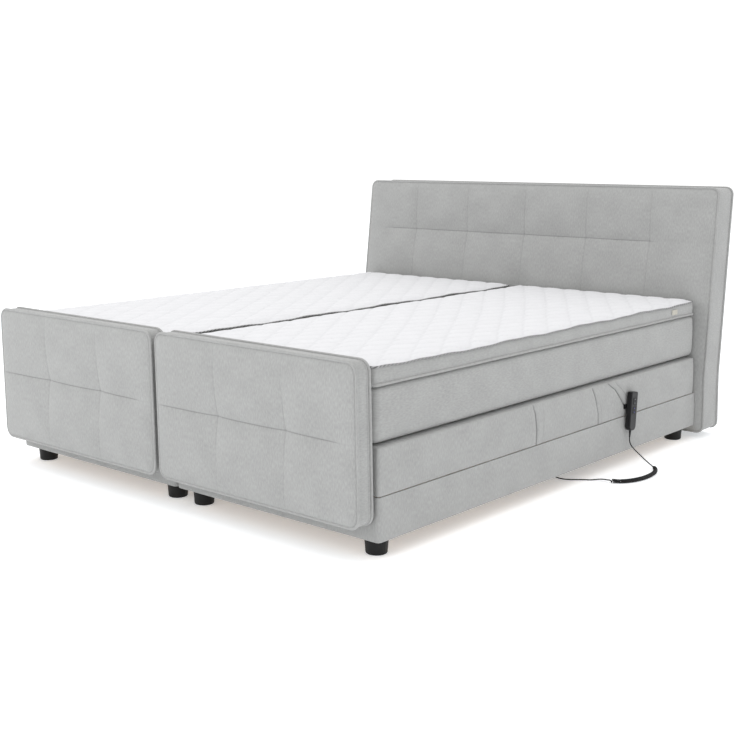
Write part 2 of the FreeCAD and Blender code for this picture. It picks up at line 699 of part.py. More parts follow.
# ---- Footboards ------------------------------------------------------------------------------------
def foot_rear(z):
    """Y of a footboard's rear face at a height: it leans out towards the top."""
    return -FOOT_GAP - FOOT_LEAN * (z - FOOT_BOTTOM) / (FOOT_TOP - FOOT_BOTTOM)


def foot_solid(depth, inset):
    """A slab in front of the footboard's rear face."""
    low, high = FOOT_BOTTOM + inset, FOOT_TOP - inset
    half = FOOT_WIDTH / 2 - inset
    outline = [(foot_rear(low) - depth, low), (foot_rear(low), low),
               (foot_rear(high), high), (foot_rear(high) - depth, high)]
    radius = FOOT_CORNER_R - inset
    front = rounded_front(2 * half, (low, high), (radius, radius), (Y_MIN - OVERCUT, 0))
    return plate_x(outline, (-half, half)).common(front)


def footboard_core():
    holes = bolt_holes((foot_rear(BOLT_Z) - BOLT_GRIP, 0))
    return [cut_all(foot_solid(FOOT_CORE, FOOT_CORE_INSET), holes)]


def footboard_cushion():
    return [foot_solid(FOOT_THICK, 0).cut(foot_solid(FOOT_CORE, FOOT_CORE_INSET))]


def spacers():
    low, high = BOLT_Z - SPACER_HEIGHT / 2, BOLT_Z + SPACER_HEIGHT / 2
    outline = [(0, low), (0, high), (foot_rear(high), high), (foot_rear(low), low)]
    x = (BOLT_X - SPACER_WIDTH / 2, BOLT_X + SPACER_WIDTH / 2)
    hole = rod_y((BOLT_X, BOLT_Z), BOLT_R + HOLE_CLEARANCE, (-2 * FOOT_GAP, 0))
    return both(plate_x(outline, x).cut(hole))


def bolt(tip, seat, way):
    """A bolt along Y from its tip to its head, whose under side is at seat."""
    shank = rod_y((BOLT_X, BOLT_Z), BOLT_R, sorted((tip, seat)))
    head = rod_y((BOLT_X, BOLT_Z), BOLT_HEAD_R, sorted((seat, seat + way * BOLT_HEAD)))
    return both(fused([shank, head]))


def board_fixings():
    inner = SKIN + BOARD
    head_tip = HEAD_FRONT + HEAD_CORE_INSET + BOLT_GRIP
    foot_tip = foot_rear(BOLT_Z) - BOLT_GRIP
    return (spacers() + bolt(foot_tip, inner, 1) + bolt(head_tip, BASE_LENGTH - inner, -1))


# ---- Handset ----------------------------------------------------------------------------------------
def placed(shape):
    """From the handset's own frame (X through it, Z along it) to where it hangs."""
    shape = shape.copy()
    shape.rotate(vec(0, 0, 0), vec(1, 0, 0), -HANDSET_TILT)
    return shape.translated(vec(HANDSET_X, HANDSET_Y, HANDSET_Z))


def handset_slab(x, inset):
    """The handset's outline, straight at the top and round at the foot."""
    half_length = HANDSET_LENGTH / 2 - inset
    half_width = HANDSET_WIDTH / 2 - inset
    slab = box(x, (-half_width, half_width), (-half_length, half_length))
    long_edges = [edge for edge in slab.Edges if edge.BoundBox.XLength > (x[1] - x[0]) / 2]
    foot = [edge for edge in long_edges if edge.BoundBox.ZMax < 0]
    slab = slab.makeFillet(HANDSET_FOOT_R - inset, foot)
    top = [edge for edge in slab.Edges
           if edge.BoundBox.XLength > (x[1] - x[0]) / 2 and edge.BoundBox.ZMin > half_length - OVERCUT]
    return slab.makeFillet(HANDSET_TOP_R - inset, top)


def edge_rounded(slab, x):
    """Rounds the rim of the slab's face at this X."""
    rim = [edge for edge in slab.Edges if abs(edge.BoundBox.Center.x - x) < 0.01
           and edge.BoundBox.XLength < 0.01]
    return slab.makeFillet(HANDSET_EDGE_R, rim)


def hook_recess():
    """Where the hook's head enters the back shell of the hanging handset."""
    face = HALF_X + OUT_X + HANDSET_STANDOFF
    depth = HOOK_ENTRY + HOOK_PLAY
    return rod_x((HOOK_Y, HOOK_Z), HOOK_HEAD_R + HOOK_PLAY, (face - OVERCUT, face + depth))


def handset_back_shell():
    slab = edge_rounded(handset_slab((-HANDSET_BACK, 0), 0), -HANDSET_BACK)
    pocket = handset_slab((-HANDSET_WALL * 2, 0), HANDSET_WALL)
    return [placed(slab.cut(pocket)).cut(hook_recess())]


def rocker_box(z, play, x):
    half_w = ROCKER_WIDTH / 2 + play
    half_h = ROCKER_HEIGHT / 2 + play
    block = box(x, (-half_w, half_w), (z - half_h, z + half_h))
    upright = [edge for edge in block.Edges if edge.BoundBox.XLength > (x[1] - x[0]) / 2]
    return block.makeFillet(HANDSET_EDGE_R, upright)


def handset_front_shell():
    slab = edge_rounded(handset_slab((0, HANDSET_FRONT), 0), HANDSET_FRONT)
    pocket = handset_slab((0, HANDSET_FRONT - HANDSET_WALL), HANDSET_WALL)
    shell = slab.cut(pocket)
    for z in ROCKER_Z:
        shell = shell.cut(rocker_box(z, ROCKER_GAP, (0, HANDSET_FRONT + OVERCUT)))
    return [placed(shell)]


def rocker(z):
    x = (HANDSET_FRONT - ROCKER_DEPTH + ROCKER_PROUD, HANDSET_FRONT + ROCKER_PROUD)
    return [placed(rocker_box(z, 0, x))]


def handset_hook():
    wide, high, thick = HOOK_PLATE
    face = HALF_X + OUT_X
    end = HOOK_Y + HOOK_OVERHANG
    plate = box((face, face + thick), (end - wide, end), (HOOK_Z - high / 2, HOOK_Z + high / 2))
    reach = face + HANDSET_STANDOFF + HOOK_ENTRY
    neck = rod_x((HOOK_Y, HOOK_Z), HOOK_R, (face + thick, reach))
    head = rod_x((HOOK_Y, HOOK_Z), HOOK_HEAD_R, (reach - HOOK_HEAD, reach))
    return [fused([plate, neck, head])]


def strain_relief():
    low = -HANDSET_LENGTH / 2
    cone = Part.makeCone(RELIEF_R, CORD_R + 0.6, RELIEF_LENGTH, vec(0, 0, low), vec(0, 0, -1))
    return [placed(cone)]


# ---- Handset lead -------------------------------------------------------------------------------------
def cord_route():
    """The whole route, from the strain relief's end to the control box's port."""
    tilt = math.radians(HANDSET_TILT)
    reach = HANDSET_LENGTH / 2 + RELIEF_LENGTH
    start = vec(HANDSET_X, HANDSET_Y - reach * math.sin(tilt), HANDSET_Z - reach * math.cos(tilt))
    port_z = BEAM_TOP - BEAM_HEIGHT - CONTROL_SIZE[2] - PORT_LENGTH
    end = vec(HALF_X + CORD_PORT_X, CORD_PORT_Y, port_z)
    hanging = [vec(HANDSET_X + x, HANDSET_Y + y, start.z * share) for x, y, share in HANGING]
    curled = [vec(HANDSET_X + x, HANDSET_Y + y, z) for x, y, z in CURLED]
    underneath = [vec(end.x + x, end.y + y, z) for x, y, z in UNDERNEATH]
    return [start] + hanging + curled + underneath + [end]


def run_lengths(route, cut_first, cut_last):
    """Length of each run; a run that was cut in half counts as the whole it comes from."""
    lengths = [(last - first).Length for first, last in zip(route, route[1:])]
    if cut_first:
        lengths[0] *= 2
    if cut_last:
        lengths[-1] *= 2
    return lengths


def cord_tube(route, radius, cut_first=False, cut_last=False):
    """Straight runs joined by tangent arcs, swept with a round section."""
    lengths = run_lengths(route, cut_first, cut_last)
    edges = []
    here = route[0]
    for index in range(1, len(route) - 1):
        corner = route[index]
        into = corner - route[index - 1]
        away = route[index + 1] - corner
        share = BEND_SHARE * min(lengths[index - 1], lengths[index])
        bend = share / math.tan(into.getAngle(away) / 2)
        into.normalize()
        away.normalize()
        first = corner - into * share
        last = corner + away * share
        inward = (away - into).normalize()
        middle = corner + inward * (math.sqrt(bend * bend + share * share) - bend)
        edges.append(Part.LineSegment(here, first).toShape())
        edges.append(Part.Arc(first, middle, last).toShape())
        here = last
    edges.append(Part.LineSegment(here, route[-1]).toShape())
    ring = Part.Wire(Part.makeCircle(radius, route[0], route[1] - route[0]))
    tube = Part.Wire(edges).makePipeShell([ring], True, True)
    return tube if tube.ShapeType == "Solid" else Part.Solid(tube)


def cord_pieces():
    route = cord_route()
    first_cut = (route[CURL_FIRST] + route[CURL_FIRST + 1]) * 0.5
    last_cut = (route[CURL_LAST] + route[CURL_LAST + 1]) * 0.5
    upper = route[:CURL_FIRST + 1] + [first_cut]
    curl = [first_cut] + route[CURL_FIRST + 1:CURL_LAST + 1] + [last_cut]
    lower = [last_cut] + route[CURL_LAST + 1:]
    save("handset_cord_upper", [cord_tube(upper, CORD_R, cut_last=True)])
    save("handset_cord_curl", [cord_tube(curl, CURL_R, True, True)])
    save("handset_cord_lower", [cord_tube(lower, CORD_R, cut_first=True)])


# ---- Saving -----------------------------------------------------------------------------------------------
def save(node, solids):
    moved = [solid.translated(vec(0, -Y_CENTRE, 0)) for solid in solids]
    shape = moved[0] if len(moved) == 1 else Part.makeCompound(moved)
    if not shape.isValid():
        raise ValueError("not a valid shape: " + node)
    shape.exportStep("parts/" + node + ".step")


def at_side(solids, x):
    return [solid.translated(vec(x, 0, 0)) for solid in solids]


SHARED = {
    "base_frames": base_frame, "base_covers": base_cover, "legs": legs,
    "pivot_brackets": pivot_bracket, "pivot_bushes": pivot_bushes,
    "drive_housings": drive_housing, "drive_motors": drive_motors,
    "control_boxes": control_box, "footboard_cores": footboard_core,
    "footboard_cushions": footboard_cushion, "board_fixings": board_fixings,
    "seat_frames": seat_frame, "seat_covers": seat_cover,
    "seat_mattresses": lambda: mattress("seat"), "seat_toppers": lambda: topper("seat")}

MOVING = {
    "back_frame": back_frame, "back_cover": back_cover, "thigh_frame": thigh_frame,
    "thigh_cover": thigh_cover, "foot_frame": foot_frame, "foot_cover": foot_cover,
    "back_lift_shaft": back_lift_shaft, "thigh_lift_shaft": thigh_lift_shaft,
    "foot_links": foot_links, "back_drive_block": lambda: drive_block(BACK_BLOCK_Y),
    "leg_drive_block": lambda: drive_block(LEG_BLOCK_Y)}

SINGLE = {
    "headboard_core": headboard_core, "headboard_cushion": headboard_cushion,
    "handset_front_shell": handset_front_shell, "handset_back_shell": handset_back_shell,
    "handset_back_rocker": lambda: rocker(ROCKER_Z[0]),
    "handset_leg_rocker": lambda: rocker(ROCKER_Z[1]),
    "handset_hook": handset_hook, "handset_strain_relief": strain_relief}


def main():
    os.makedirs("parts", exist_ok=True)
    for node, make in SHARED.items():
        solids = make()
        save(node, [solid for x in SIDES.values() for solid in at_side(solids, x)])
    for node, make in MOVING.items():
        solids = make()
        for side, x in SIDES.items():
            save(side + "_" + node, at_side(solids, x))
    for section in ("back", "thigh", "foot"):
        for side, x in SIDES.items():
            save(side + "_" + section + "_mattress", at_side(mattress(section), x))
            save(side + "_" + section + "_topper", at_side(topper(section), x))
    for node, make in SINGLE.items():
        save(node, make())
    cord_pieces()


main()
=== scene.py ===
import json
import math

import bmesh
import bpy
import numpy as np
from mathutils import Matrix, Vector


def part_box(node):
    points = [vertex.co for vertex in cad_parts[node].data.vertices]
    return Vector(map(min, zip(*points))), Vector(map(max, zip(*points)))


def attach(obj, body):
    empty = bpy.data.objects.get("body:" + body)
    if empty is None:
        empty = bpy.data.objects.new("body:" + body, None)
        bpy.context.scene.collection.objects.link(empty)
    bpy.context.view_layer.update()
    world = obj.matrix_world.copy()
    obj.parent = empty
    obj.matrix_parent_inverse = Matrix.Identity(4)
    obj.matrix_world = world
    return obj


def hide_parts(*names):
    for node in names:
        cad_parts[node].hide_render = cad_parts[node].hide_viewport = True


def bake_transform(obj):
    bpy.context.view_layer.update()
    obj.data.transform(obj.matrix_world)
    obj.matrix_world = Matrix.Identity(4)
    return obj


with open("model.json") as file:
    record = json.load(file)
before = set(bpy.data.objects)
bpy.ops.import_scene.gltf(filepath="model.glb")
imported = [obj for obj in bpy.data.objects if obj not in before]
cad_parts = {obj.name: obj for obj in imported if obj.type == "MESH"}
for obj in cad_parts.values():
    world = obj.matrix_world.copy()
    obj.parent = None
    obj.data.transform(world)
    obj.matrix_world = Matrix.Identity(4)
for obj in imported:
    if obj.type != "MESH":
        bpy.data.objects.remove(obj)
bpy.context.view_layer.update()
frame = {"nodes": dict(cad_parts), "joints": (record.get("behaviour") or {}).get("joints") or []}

# A double adjustable bed: two upholstered bases with folding decks, mattresses and
# toppers, two tufted footboards, one tufted headboard and a wired handset.
# Metres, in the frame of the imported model: X across the bed, Y from foot to head.

# ---- Places taken from the frame ----
HINGES = {
    joint["name"]: Vector(joint["pos_m"]) for joint in frame["joints"] if joint["type"] == "hinge"}
BASE_LOW, BASE_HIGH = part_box("base_covers")
DECK_LOW, DECK_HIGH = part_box("right_foot_cover")
DECK_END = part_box("right_back_cover")[1].y
MATTRESS_LOW, MATTRESS_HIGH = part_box("right_foot_mattress")
MATTRESS_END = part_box("right_back_mattress")[1].y
TOPPER_LOW, TOPPER_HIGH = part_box("right_foot_topper")
HEAD_LOW, HEAD_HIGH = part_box("headboard_cushion")
FOOT_LOW, FOOT_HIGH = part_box("footboard_cushions")
FOOT_END = BASE_LOW.y
BACK = HINGES["right_back_lift"]
THIGH = HINGES["right_thigh_lift"]
HALF_X = BACK.x
SIDES = {"right": HALF_X, "left": -HALF_X}
HALF_WIDTH = BASE_HIGH.x - HALF_X

# The soft covers are sewn in three lengths that meet on the rigid middle of a section.
THIGH_JOIN = THIGH.y - 0.160
SEAT_JOIN = BACK.y - 0.116
LENGTHS = {
    "foot": (FOOT_END, THIGH_JOIN), "seat": (THIGH_JOIN, SEAT_JOIN),
    "back": (SEAT_JOIN, MATTRESS_END)}
DECK_LENGTHS = {
    "foot": (DECK_LOW.y, THIGH_JOIN), "seat": (THIGH_JOIN, SEAT_JOIN),
    "back": (SEAT_JOIN, DECK_END)}

# ---- Sizes of the upholstery ----
BASE_CORNER = 0.014
DECK_PULL_IN = 0.002
DECK_CORNER = 0.012
DECK_FLANGE = 0.085
FLANGE_THICK = 0.0018
COVER_THICK = 0.0055
MATTRESS_ROUND = (0.026, 0.020)
MATTRESS_END_ROUND = 0.024
MATTRESS_GAP = 0.007
TOPPER_BORDER = 0.052
TOPPER_EDGE = 0.016
TOPPER_CURL = 0.0085
TOPPER_CURL_REACH = 0.15
TOPPER_WAVE = 0.0022
TOPPER_WAVE_LENGTH = 0.43
TOPPER_RIPPLE = 0.0010
TWISTED_CORD_R = 0.0032
QUILT_WAVE = 0.150
QUILT_PITCH = 0.050
QUILT_SWAY = 0.017
QUILT_PUFF = 0.0045
HEAD_LEAN = 0.12
HEAD_KINK = 0.255
HEAD_CORNER = 0.030
FOOT_CORNER = 0.036
FOOT_LEAN = 0.012
FOOT_TOP_WIDTH = 0.880
HEAD_SEAM_Z = 0.797
HEAD_TUFTS = (-0.633, -0.324, 0.0, 0.325, 0.636)
FOOT_SEAM_SHARE = 0.51
FOOT_TUFTS = (-0.150, 0.150)
PIPING_R = 0.0048
PIPING_DEPTH = 0.003
BOARD_INSET = 0.0022
BAND_BULGE = 0.0016
SECOND_SEAM = 0.014
TUFT_LIMIT = 0.027

# ---- Cloth solver ----
CLOTH_MASS = 0.035
CLOTH_PRESSURE = 5.0
CLOTH_FRAMES = 20
CLOTH_CAP = 0.010

# ---- Colours and light ----
FABRIC = (0.338, 0.340, 0.335)
WHITE = (0.66, 0.66, 0.675)
ZIP_GREY = (0.20, 0.20, 0.20)
FLOOR_REACH = 14.0
FLOOR_GLOW = 0.34
SKY_GLOW = 1.14
CEILING_POWER = 40.0
FRONT_POWER = 30.0

# ---- Handset lead ----
# The route is in the CAD model's millimetres; BED_MIDDLE is the frame's origin in its Y.
CORD_R = 0.0022
HELIX_R = 0.0058
HELIX_PITCH = 0.0049
HELIX_STEPS = 12
CURL_LEAD_IN = 0.030
CURL_FIRST = 6
CURL_LAST = 14
BED_MIDDLE = 1.06882
CORD_POINTS_MM = [
    (917.0, 1427.65, 111.54), (917.0, 1426.2, 97.3), (922.5, 1428.5, 81.0),
    (935.5, 1436.5, 63.5), (952.0, 1446.5, 45.0), (969.0, 1455.5, 27.0),
    (987.0, 1459.5, 13.1), (1008.0, 1449.0, 8.1), (1033.0, 1420.0, 8.1),
    (1049.0, 1377.0, 8.1), (1055.0, 1326.0, 8.1), (1051.0, 1274.0, 8.1),
    (1036.0, 1226.0, 8.1), (1009.0, 1190.0, 8.1), (975.0, 1177.0, 8.1),
    (949.0, 1179.0, 8.1), (929.0, 1176.0, 4.5), (914.0, 1161.0, 2.5),
    (894.0, 1149.1, 2.5), (872.0, 1130.1, 2.5), (848.0, 1110.1, 2.5),
    (822.0, 1103.1, 2.5), (796.0, 1108.1, 3.0), (775.0, 1113.1, 9.0),
    (760.0, 1114.6, 24.0), (754.5, 1114.1, 47.0), (754.0, 1114.1, 75.0)]

# ---- Handset ----
HANDSET_TILT = 6.0
MARK_SIZE = 0.0034
MARK_PLACE = 0.0072
MARK_PROUD = 0.00025

# ---- Camera ----
CAMERA_PLACE = (3.1081, -3.6428, 1.1945)
CAMERA_YAW = 0.71777
CAMERA_PITCH = 0.10902
CAMERA_ROLL = 0.0015
CAMERA_LENS = 59.18
CAMERA_SHIFT = -0.1196


# ---- Helpers ----
def add_object(name, data):
    made = bpy.data.objects.new(name, data)
    bpy.context.scene.collection.objects.link(made)
    return made


def grid_faces(rows, columns, first=0):
    """The quads between a grid's points, which are numbered row by row."""
    index = np.arange(rows * columns).reshape(rows, columns) + first
    quads = np.stack([index[:-1, :-1], index[1:, :-1], index[1:, 1:], index[:-1, 1:]], -1)
    return quads.reshape(-1, 4).tolist()


def run_length(line):
    """How far along a line of points each point lies."""
    return np.concatenate([[0], np.cumsum(np.linalg.norm(np.diff(line, axis=0), axis=1))])


def bell(offset, width):
    return np.exp(-(offset / width) ** 2)


def make_camera():
    data = bpy.data.cameras.new("camera")
    data.lens = CAMERA_LENS
    data.sensor_width = 36.0
    data.shift_y = CAMERA_SHIFT
    data.clip_end = 60.0
    camera = add_object("camera", data)
    camera.location = CAMERA_PLACE
    camera.rotation_euler = (math.pi / 2 - CAMERA_PITCH, CAMERA_ROLL, CAMERA_YAW)
    bpy.context.scene.camera = camera


# ---- Node helpers ----
class Paint:
    """A material under construction."""

    def __init__(self, name, colour, roughness):
        self.material = bpy.data.materials.new(name)
        self.material.use_nodes = True
        self.tree = self.material.node_tree
        self.shader = self.tree.nodes["Principled BSDF"]
        self.set("Base Color", (*colour, 1.0))
        self.set("Roughness", roughness)

    def set(self, socket, value):
        self.shader.inputs[socket].default_value = value

    def node(self, kind, **values):
        made = self.tree.nodes.new(kind)
        for key, value in values.items():
            setattr(made, key, value)
        return made

    def link(self, start, end):
        self.tree.links.new(start, end)

    def place(self, stretch, soft):
        """Coordinates in metres: along the cloth on soft pieces, in the frame on hard ones."""
        if soft:
            source = self.node("ShaderNodeUVMap", uv_map="cloth").outputs["UV"]
        else:
            source = self.node("ShaderNodeTexCoord").outputs["Object"]
        mapping = self.node("ShaderNodeMapping")
        mapping.inputs["Scale"].default_value = stretch
        self.link(source, mapping.inputs["Vector"])
        return mapping.outputs["Vector"]

    def noise(self, scale, detail=2.0, stretch=(1.0, 1.0, 1.0), soft=True):
        made = self.node("ShaderNodeTexNoise")
        made.inputs["Scale"].default_value = scale
        made.inputs["Detail"].default_value = detail
        self.link(self.place(stretch, soft), made.inputs["Vector"])
        return made.outputs["Fac"]

    def threads(self, scale, direction, stretch=(1.0, 1.0, 1.0), soft=True):
        made = self.node("ShaderNodeTexWave", wave_type="BANDS", bands_direction=direction)
        made.inputs["Scale"].default_value = scale
        made.inputs["Distortion"].default_value = 1.2
        made.inputs["Detail"].default_value = 1.0
        self.link(self.place(stretch, soft), made.inputs["Vector"])
        return made.outputs["Fac"]

    def ramp(self, factor, stops):
        made = self.node("ShaderNodeValToRGB")
        elements = made.color_ramp.elements
        while len(elements) < len(stops):
            elements.new(0.5)
        for element, (place, colour) in zip(elements, stops):
            element.position = place
            element.color = (*colour, 1.0)
        self.link(factor, made.inputs["Fac"])
        return made.outputs["Color"]

    def mix(self, factor, first, second, blend="MIX"):
        made = self.node("ShaderNodeMix", data_type="RGBA", blend_type=blend)
        for value, socket in ((factor, 0), (first, 6), (second, 7)):
            if isinstance(value, (int, float)):
                made.inputs[socket].default_value = value
            elif isinstance(value, tuple):
                made.inputs[socket].default_value = (*value, 1.0)
            else:
                self.link(value, made.inputs[socket])
        return made.outputs[2]

    def sum(self, *parts):
        """The weighted sum of height fields."""
        total = None
        for field, weight in parts:
            scaled = self.node("ShaderNodeMath", operation="MULTIPLY")
            self.link(field, scaled.inputs[0])
            scaled.inputs[1].default_value = weight
            if total is None:
                total = scaled.outputs[0]
            else:
                joined = self.node("ShaderNodeMath", operation="ADD")
                self.link(total, joined.inputs[0])
                self.link(scaled.outputs[0], joined.inputs[1])
                total = joined.outputs[0]
        return total

    def bump(self, height, strength, distance):
        made = self.node("ShaderNodeBump")
        made.inputs["Strength"].default_value = strength
        made.inputs["Distance"].default_value = distance
        self.link(height, made.inputs["Height"])
        self.link(made.outputs["Normal"], self.shader.inputs["Normal"])

    def drive(self, socket, source):
        self.link(source, self.shader.inputs[socket])

    # painted shade: the mark attribute darkens seams, creases, tuft dimples and stitch grooves where shade
    # falls
    def painted_shade(self):
        return self.node("ShaderNodeAttribute", attribute_name="mark").outputs["Fac"]


def shade(colour, amount):
    return tuple(channel * amount for channel in colour)


# ---- Cloth materials ----
def fabric_material():
    """Flat-woven chenille: upright slubs, a fine weave and cloudy tone, with painted shade darkening it in
    seams, creases and tuft dimples.
    """
    paint = Paint("chenille", FABRIC, 0.9)
    slubs = paint.noise(75.0, 3.0, (3.0, 1.0, 1.0))
    cloud = paint.noise(9.0)
    warp = paint.threads(150.0, "X")
    weft = paint.threads(120.0, "Y")
    slub_tone = paint.ramp(
        slubs, [(0.30, shade(FABRIC, 0.90)), (0.52, FABRIC), (0.74, shade(FABRIC, 1.12))])
    cloud_tone = paint.ramp(cloud, [(0.35, (0.96, 0.96, 0.96)), (0.65, (1.03, 1.03, 1.03))])
    tone = paint.mix(1.0, slub_tone, cloud_tone, "MULTIPLY")
    # painted shade: the mark attribute mixes the cloth towards a darker grey in its seams, creases and tufts
    tone_with_painted_shade = paint.mix(paint.painted_shade(), tone, shade(FABRIC, 0.42))
    paint.drive("Base Color", tone_with_painted_shade)
    paint.bump(paint.sum((warp, 0.35), (weft, 0.35), (slubs, 1.0)), 0.5, 0.0009)
    paint.set("Sheen Weight", 0.25)
    paint.set("Sheen Roughness", 0.45)
    paint.set("Specular IOR Level", 0.25)
    return paint.material


def quilt_material():
    """White knitted quilting, with painted shade darkening its stitch grooves."""
    paint = Paint("quilted_knit", WHITE, 0.85)
    fuzz = paint.noise(420.0)
    cloud = paint.noise(14.0)
    rows = paint.threads(140.0, "Y")
    tone = paint.ramp(cloud, [(0.35, shade(WHITE, 0.975)), (0.65, WHITE)])
    # painted shade in the stitch grooves, from the mark attribute
    tone_with_stitch_shade = paint.mix(paint.painted_shade(), tone, shade(WHITE, 0.72))
    paint.drive("Base Color", tone_with_stitch_shade)
    paint.bump(paint.sum((fuzz, 0.6), (rows, 0.5)), 0.35, 0.0007)
    paint.set("Sheen Weight", 0.15)
    paint.set("Specular IOR Level", 0.2)
    return paint.material


def twist_material():
    """Twisted grey cord of the topper's upper edge."""
    paint = Paint("twisted_cord", ZIP_GREY, 0.75)
    strands = paint.threads(60.0, "DIAGONAL", (1.0, 0.6, 1.0))
    tone = paint.ramp(strands, [(0.25, shade(ZIP_GREY, 0.55)), (0.75, shade(ZIP_GREY, 1.9))])
    paint.drive("Base Color", tone)
    paint.bump(strands, 0.8, 0.0012)
    return paint.material


def label_material():
    paint = Paint("label_tape", (0.46, 0.44, 0.39), 0.7)
    rows = paint.threads(260.0, "Y")
    tone = paint.ramp(rows, [(0.2, (0.40, 0.385, 0.34)), (0.8, (0.50, 0.48, 0.42))])
    paint.drive("Base Color", tone)
    paint.bump(rows, 0.3, 0.0003)
    return paint.material


# ---- Hard materials ----
def plastic_material(name, colour, roughness, grain=900.0):
    """Moulded plastic with a fine spark-eroded grain."""
    paint = Paint(name, colour, roughness)
    fine = paint.noise(grain, soft=False)
    patch = paint.noise(22.0, 3.0, soft=False)
    tone = paint.ramp(patch, [(0.35, shade(colour, 0.82)), (0.65, shade(colour, 1.15))])
    paint.drive("Base Color", tone)
    rough = paint.ramp(patch, [(0.3, (roughness * 0.9,) * 3), (0.7, (roughness * 1.12,) * 3)])
    paint.drive("Roughness", rough)
    paint.bump(fine, 0.25, 0.0002)
    paint.set("Specular IOR Level", 0.28)
    return paint.material


def timber_material():
    """Planed pine with long grain along the bed."""
    paint = Paint("planed_pine", (0.58, 0.40, 0.22), 0.6)
    grain = paint.noise(6.0, 4.0, (14.0, 0.8, 14.0), soft=False)
    rings = paint.threads(9.0, "X", (1.0, 0.05, 1.0), soft=False)
    tone = paint.ramp(
        grain, [(0.3, (0.46, 0.29, 0.14)), (0.5, (0.60, 0.42, 0.23)), (0.7, (0.70, 0.52, 0.31))])
    ringed = paint.mix(0.25, tone, rings, "MULTIPLY")
    paint.drive("Base Color", ringed)
    paint.bump(grain, 0.3, 0.0006)
    return paint.material


def metal_material(name, colour, roughness, metallic):
    paint = Paint(name, colour, roughness)
    wear = paint.noise(60.0, 4.0, soft=False)
    brushed = paint.noise(30.0, 2.0, (1.0, 25.0, 25.0), soft=False)
    tone = paint.ramp(wear, [(0.35, shade(colour, 0.85)), (0.65, shade(colour, 1.1))])
    paint.drive("Base Color", tone)
    paint.set("Metallic", metallic)
    rough = paint.ramp(brushed, [(0.3, (roughness * 0.8,) * 3), (0.7, (roughness * 1.2,) * 3)])
    paint.drive("Roughness", rough)
    paint.bump(brushed, 0.12, 0.0002)
    return paint.material


# ---- Shells of cloth ----
class Shell:
    """Grids of points sewn together into one closed mesh."""

    def __init__(self):
        self.points = []
        self.faces = []
        self.uvs = []
        self.painted_shade = []
        self.slots = []
        self.count = 0

    def add(self, grid, uv, mark=None, slots=0):
        """A grid of points (rows, columns, 3) with its cloth coordinates."""
        rows, columns = grid.shape[:2]
        self.points.append(grid.reshape(-1, 3))
        self.uvs.append(uv.reshape(-1, 2))
        # mark: painted shade at each point, darkest in seams, creases, tufts and stitch grooves
        self.painted_shade.append(np.zeros(rows * columns) if mark is None else mark.reshape(-1))
        self.faces += grid_faces(rows, columns, self.count)
        per_face = np.broadcast_to(np.asarray(slots), (rows - 1, columns - 1)).reshape(-1)
        self.slots += per_face.tolist()
        self.count += rows * columns

    def cap(self, loop, slot=0):
        """One flat face that closes the end of a loft."""
        self.points.append(loop)
        self.uvs.append(loop[:, [0, 2]])
        self.painted_shade.append(np.zeros(len(loop)))
        self.faces.append(list(range(self.count, self.count + len(loop))))
        self.slots.append(slot)
        self.count += len(loop)

    def make(self, name, materials, crease_angle=50.0):
        points = np.concatenate(self.points)
        uvs = np.concatenate(self.uvs)
        mesh = bpy.data.meshes.new(name)
        mesh.from_pydata(points.tolist(), [], self.faces)
        corners = np.concatenate([np.asarray(face) for face in self.faces])
        layer = mesh.uv_layers.new(name="cloth")
        layer.data.foreach_set("uv", uvs[corners].astype(np.float32).ravel())
        # the mark attribute carries the painted shade to the cloth materials
        mark = mesh.attributes.new("mark", "FLOAT", "POINT")
        mark.data.foreach_set("value", np.concatenate(self.painted_shade).astype(np.float32))
        mesh.polygons.foreach_set("material_index", self.slots)
        sewn = bmesh.new()
        sewn.from_mesh(mesh)
        bmesh.ops.remove_doubles(sewn, verts=sewn.verts, dist=0.00002)
        bmesh.ops.recalc_face_normals(sewn, faces=sewn.faces)
        sewn.to_mesh(mesh)
        sewn.free()
        mesh.shade_smooth()
        mesh.set_sharp_from_angle(angle=math.radians(crease_angle))
        for material in materials:
            mesh.materials.append(material)
        return add_object(name, mesh)


def spread(start, end, step):
    """Evenly spaced values from start to end, no further apart than step."""
    return np.linspace(start, end, max(2, int(math.ceil(abs(end - start) / step)) + 1))


def sway(along, up, seed, size):
    """The slow unevenness of stuffed cloth, from a few fixed waves."""
    random = np.random.default_rng(seed)
    total = 0.0
    for turn in range(5):
        length = random.uniform(0.18, 0.6)
        lean = random.uniform(-0.6, 0.6)
        phase = random.uniform(0, 2 * math.pi)
        total = total + np.sin(2 * math.pi * (along + lean * up) / length + phase)
    return size * total / 3.0


# ---- Lofted pads: mattresses and toppers ----
SIDE, TOP, BOTTOM = 0, 1, 2


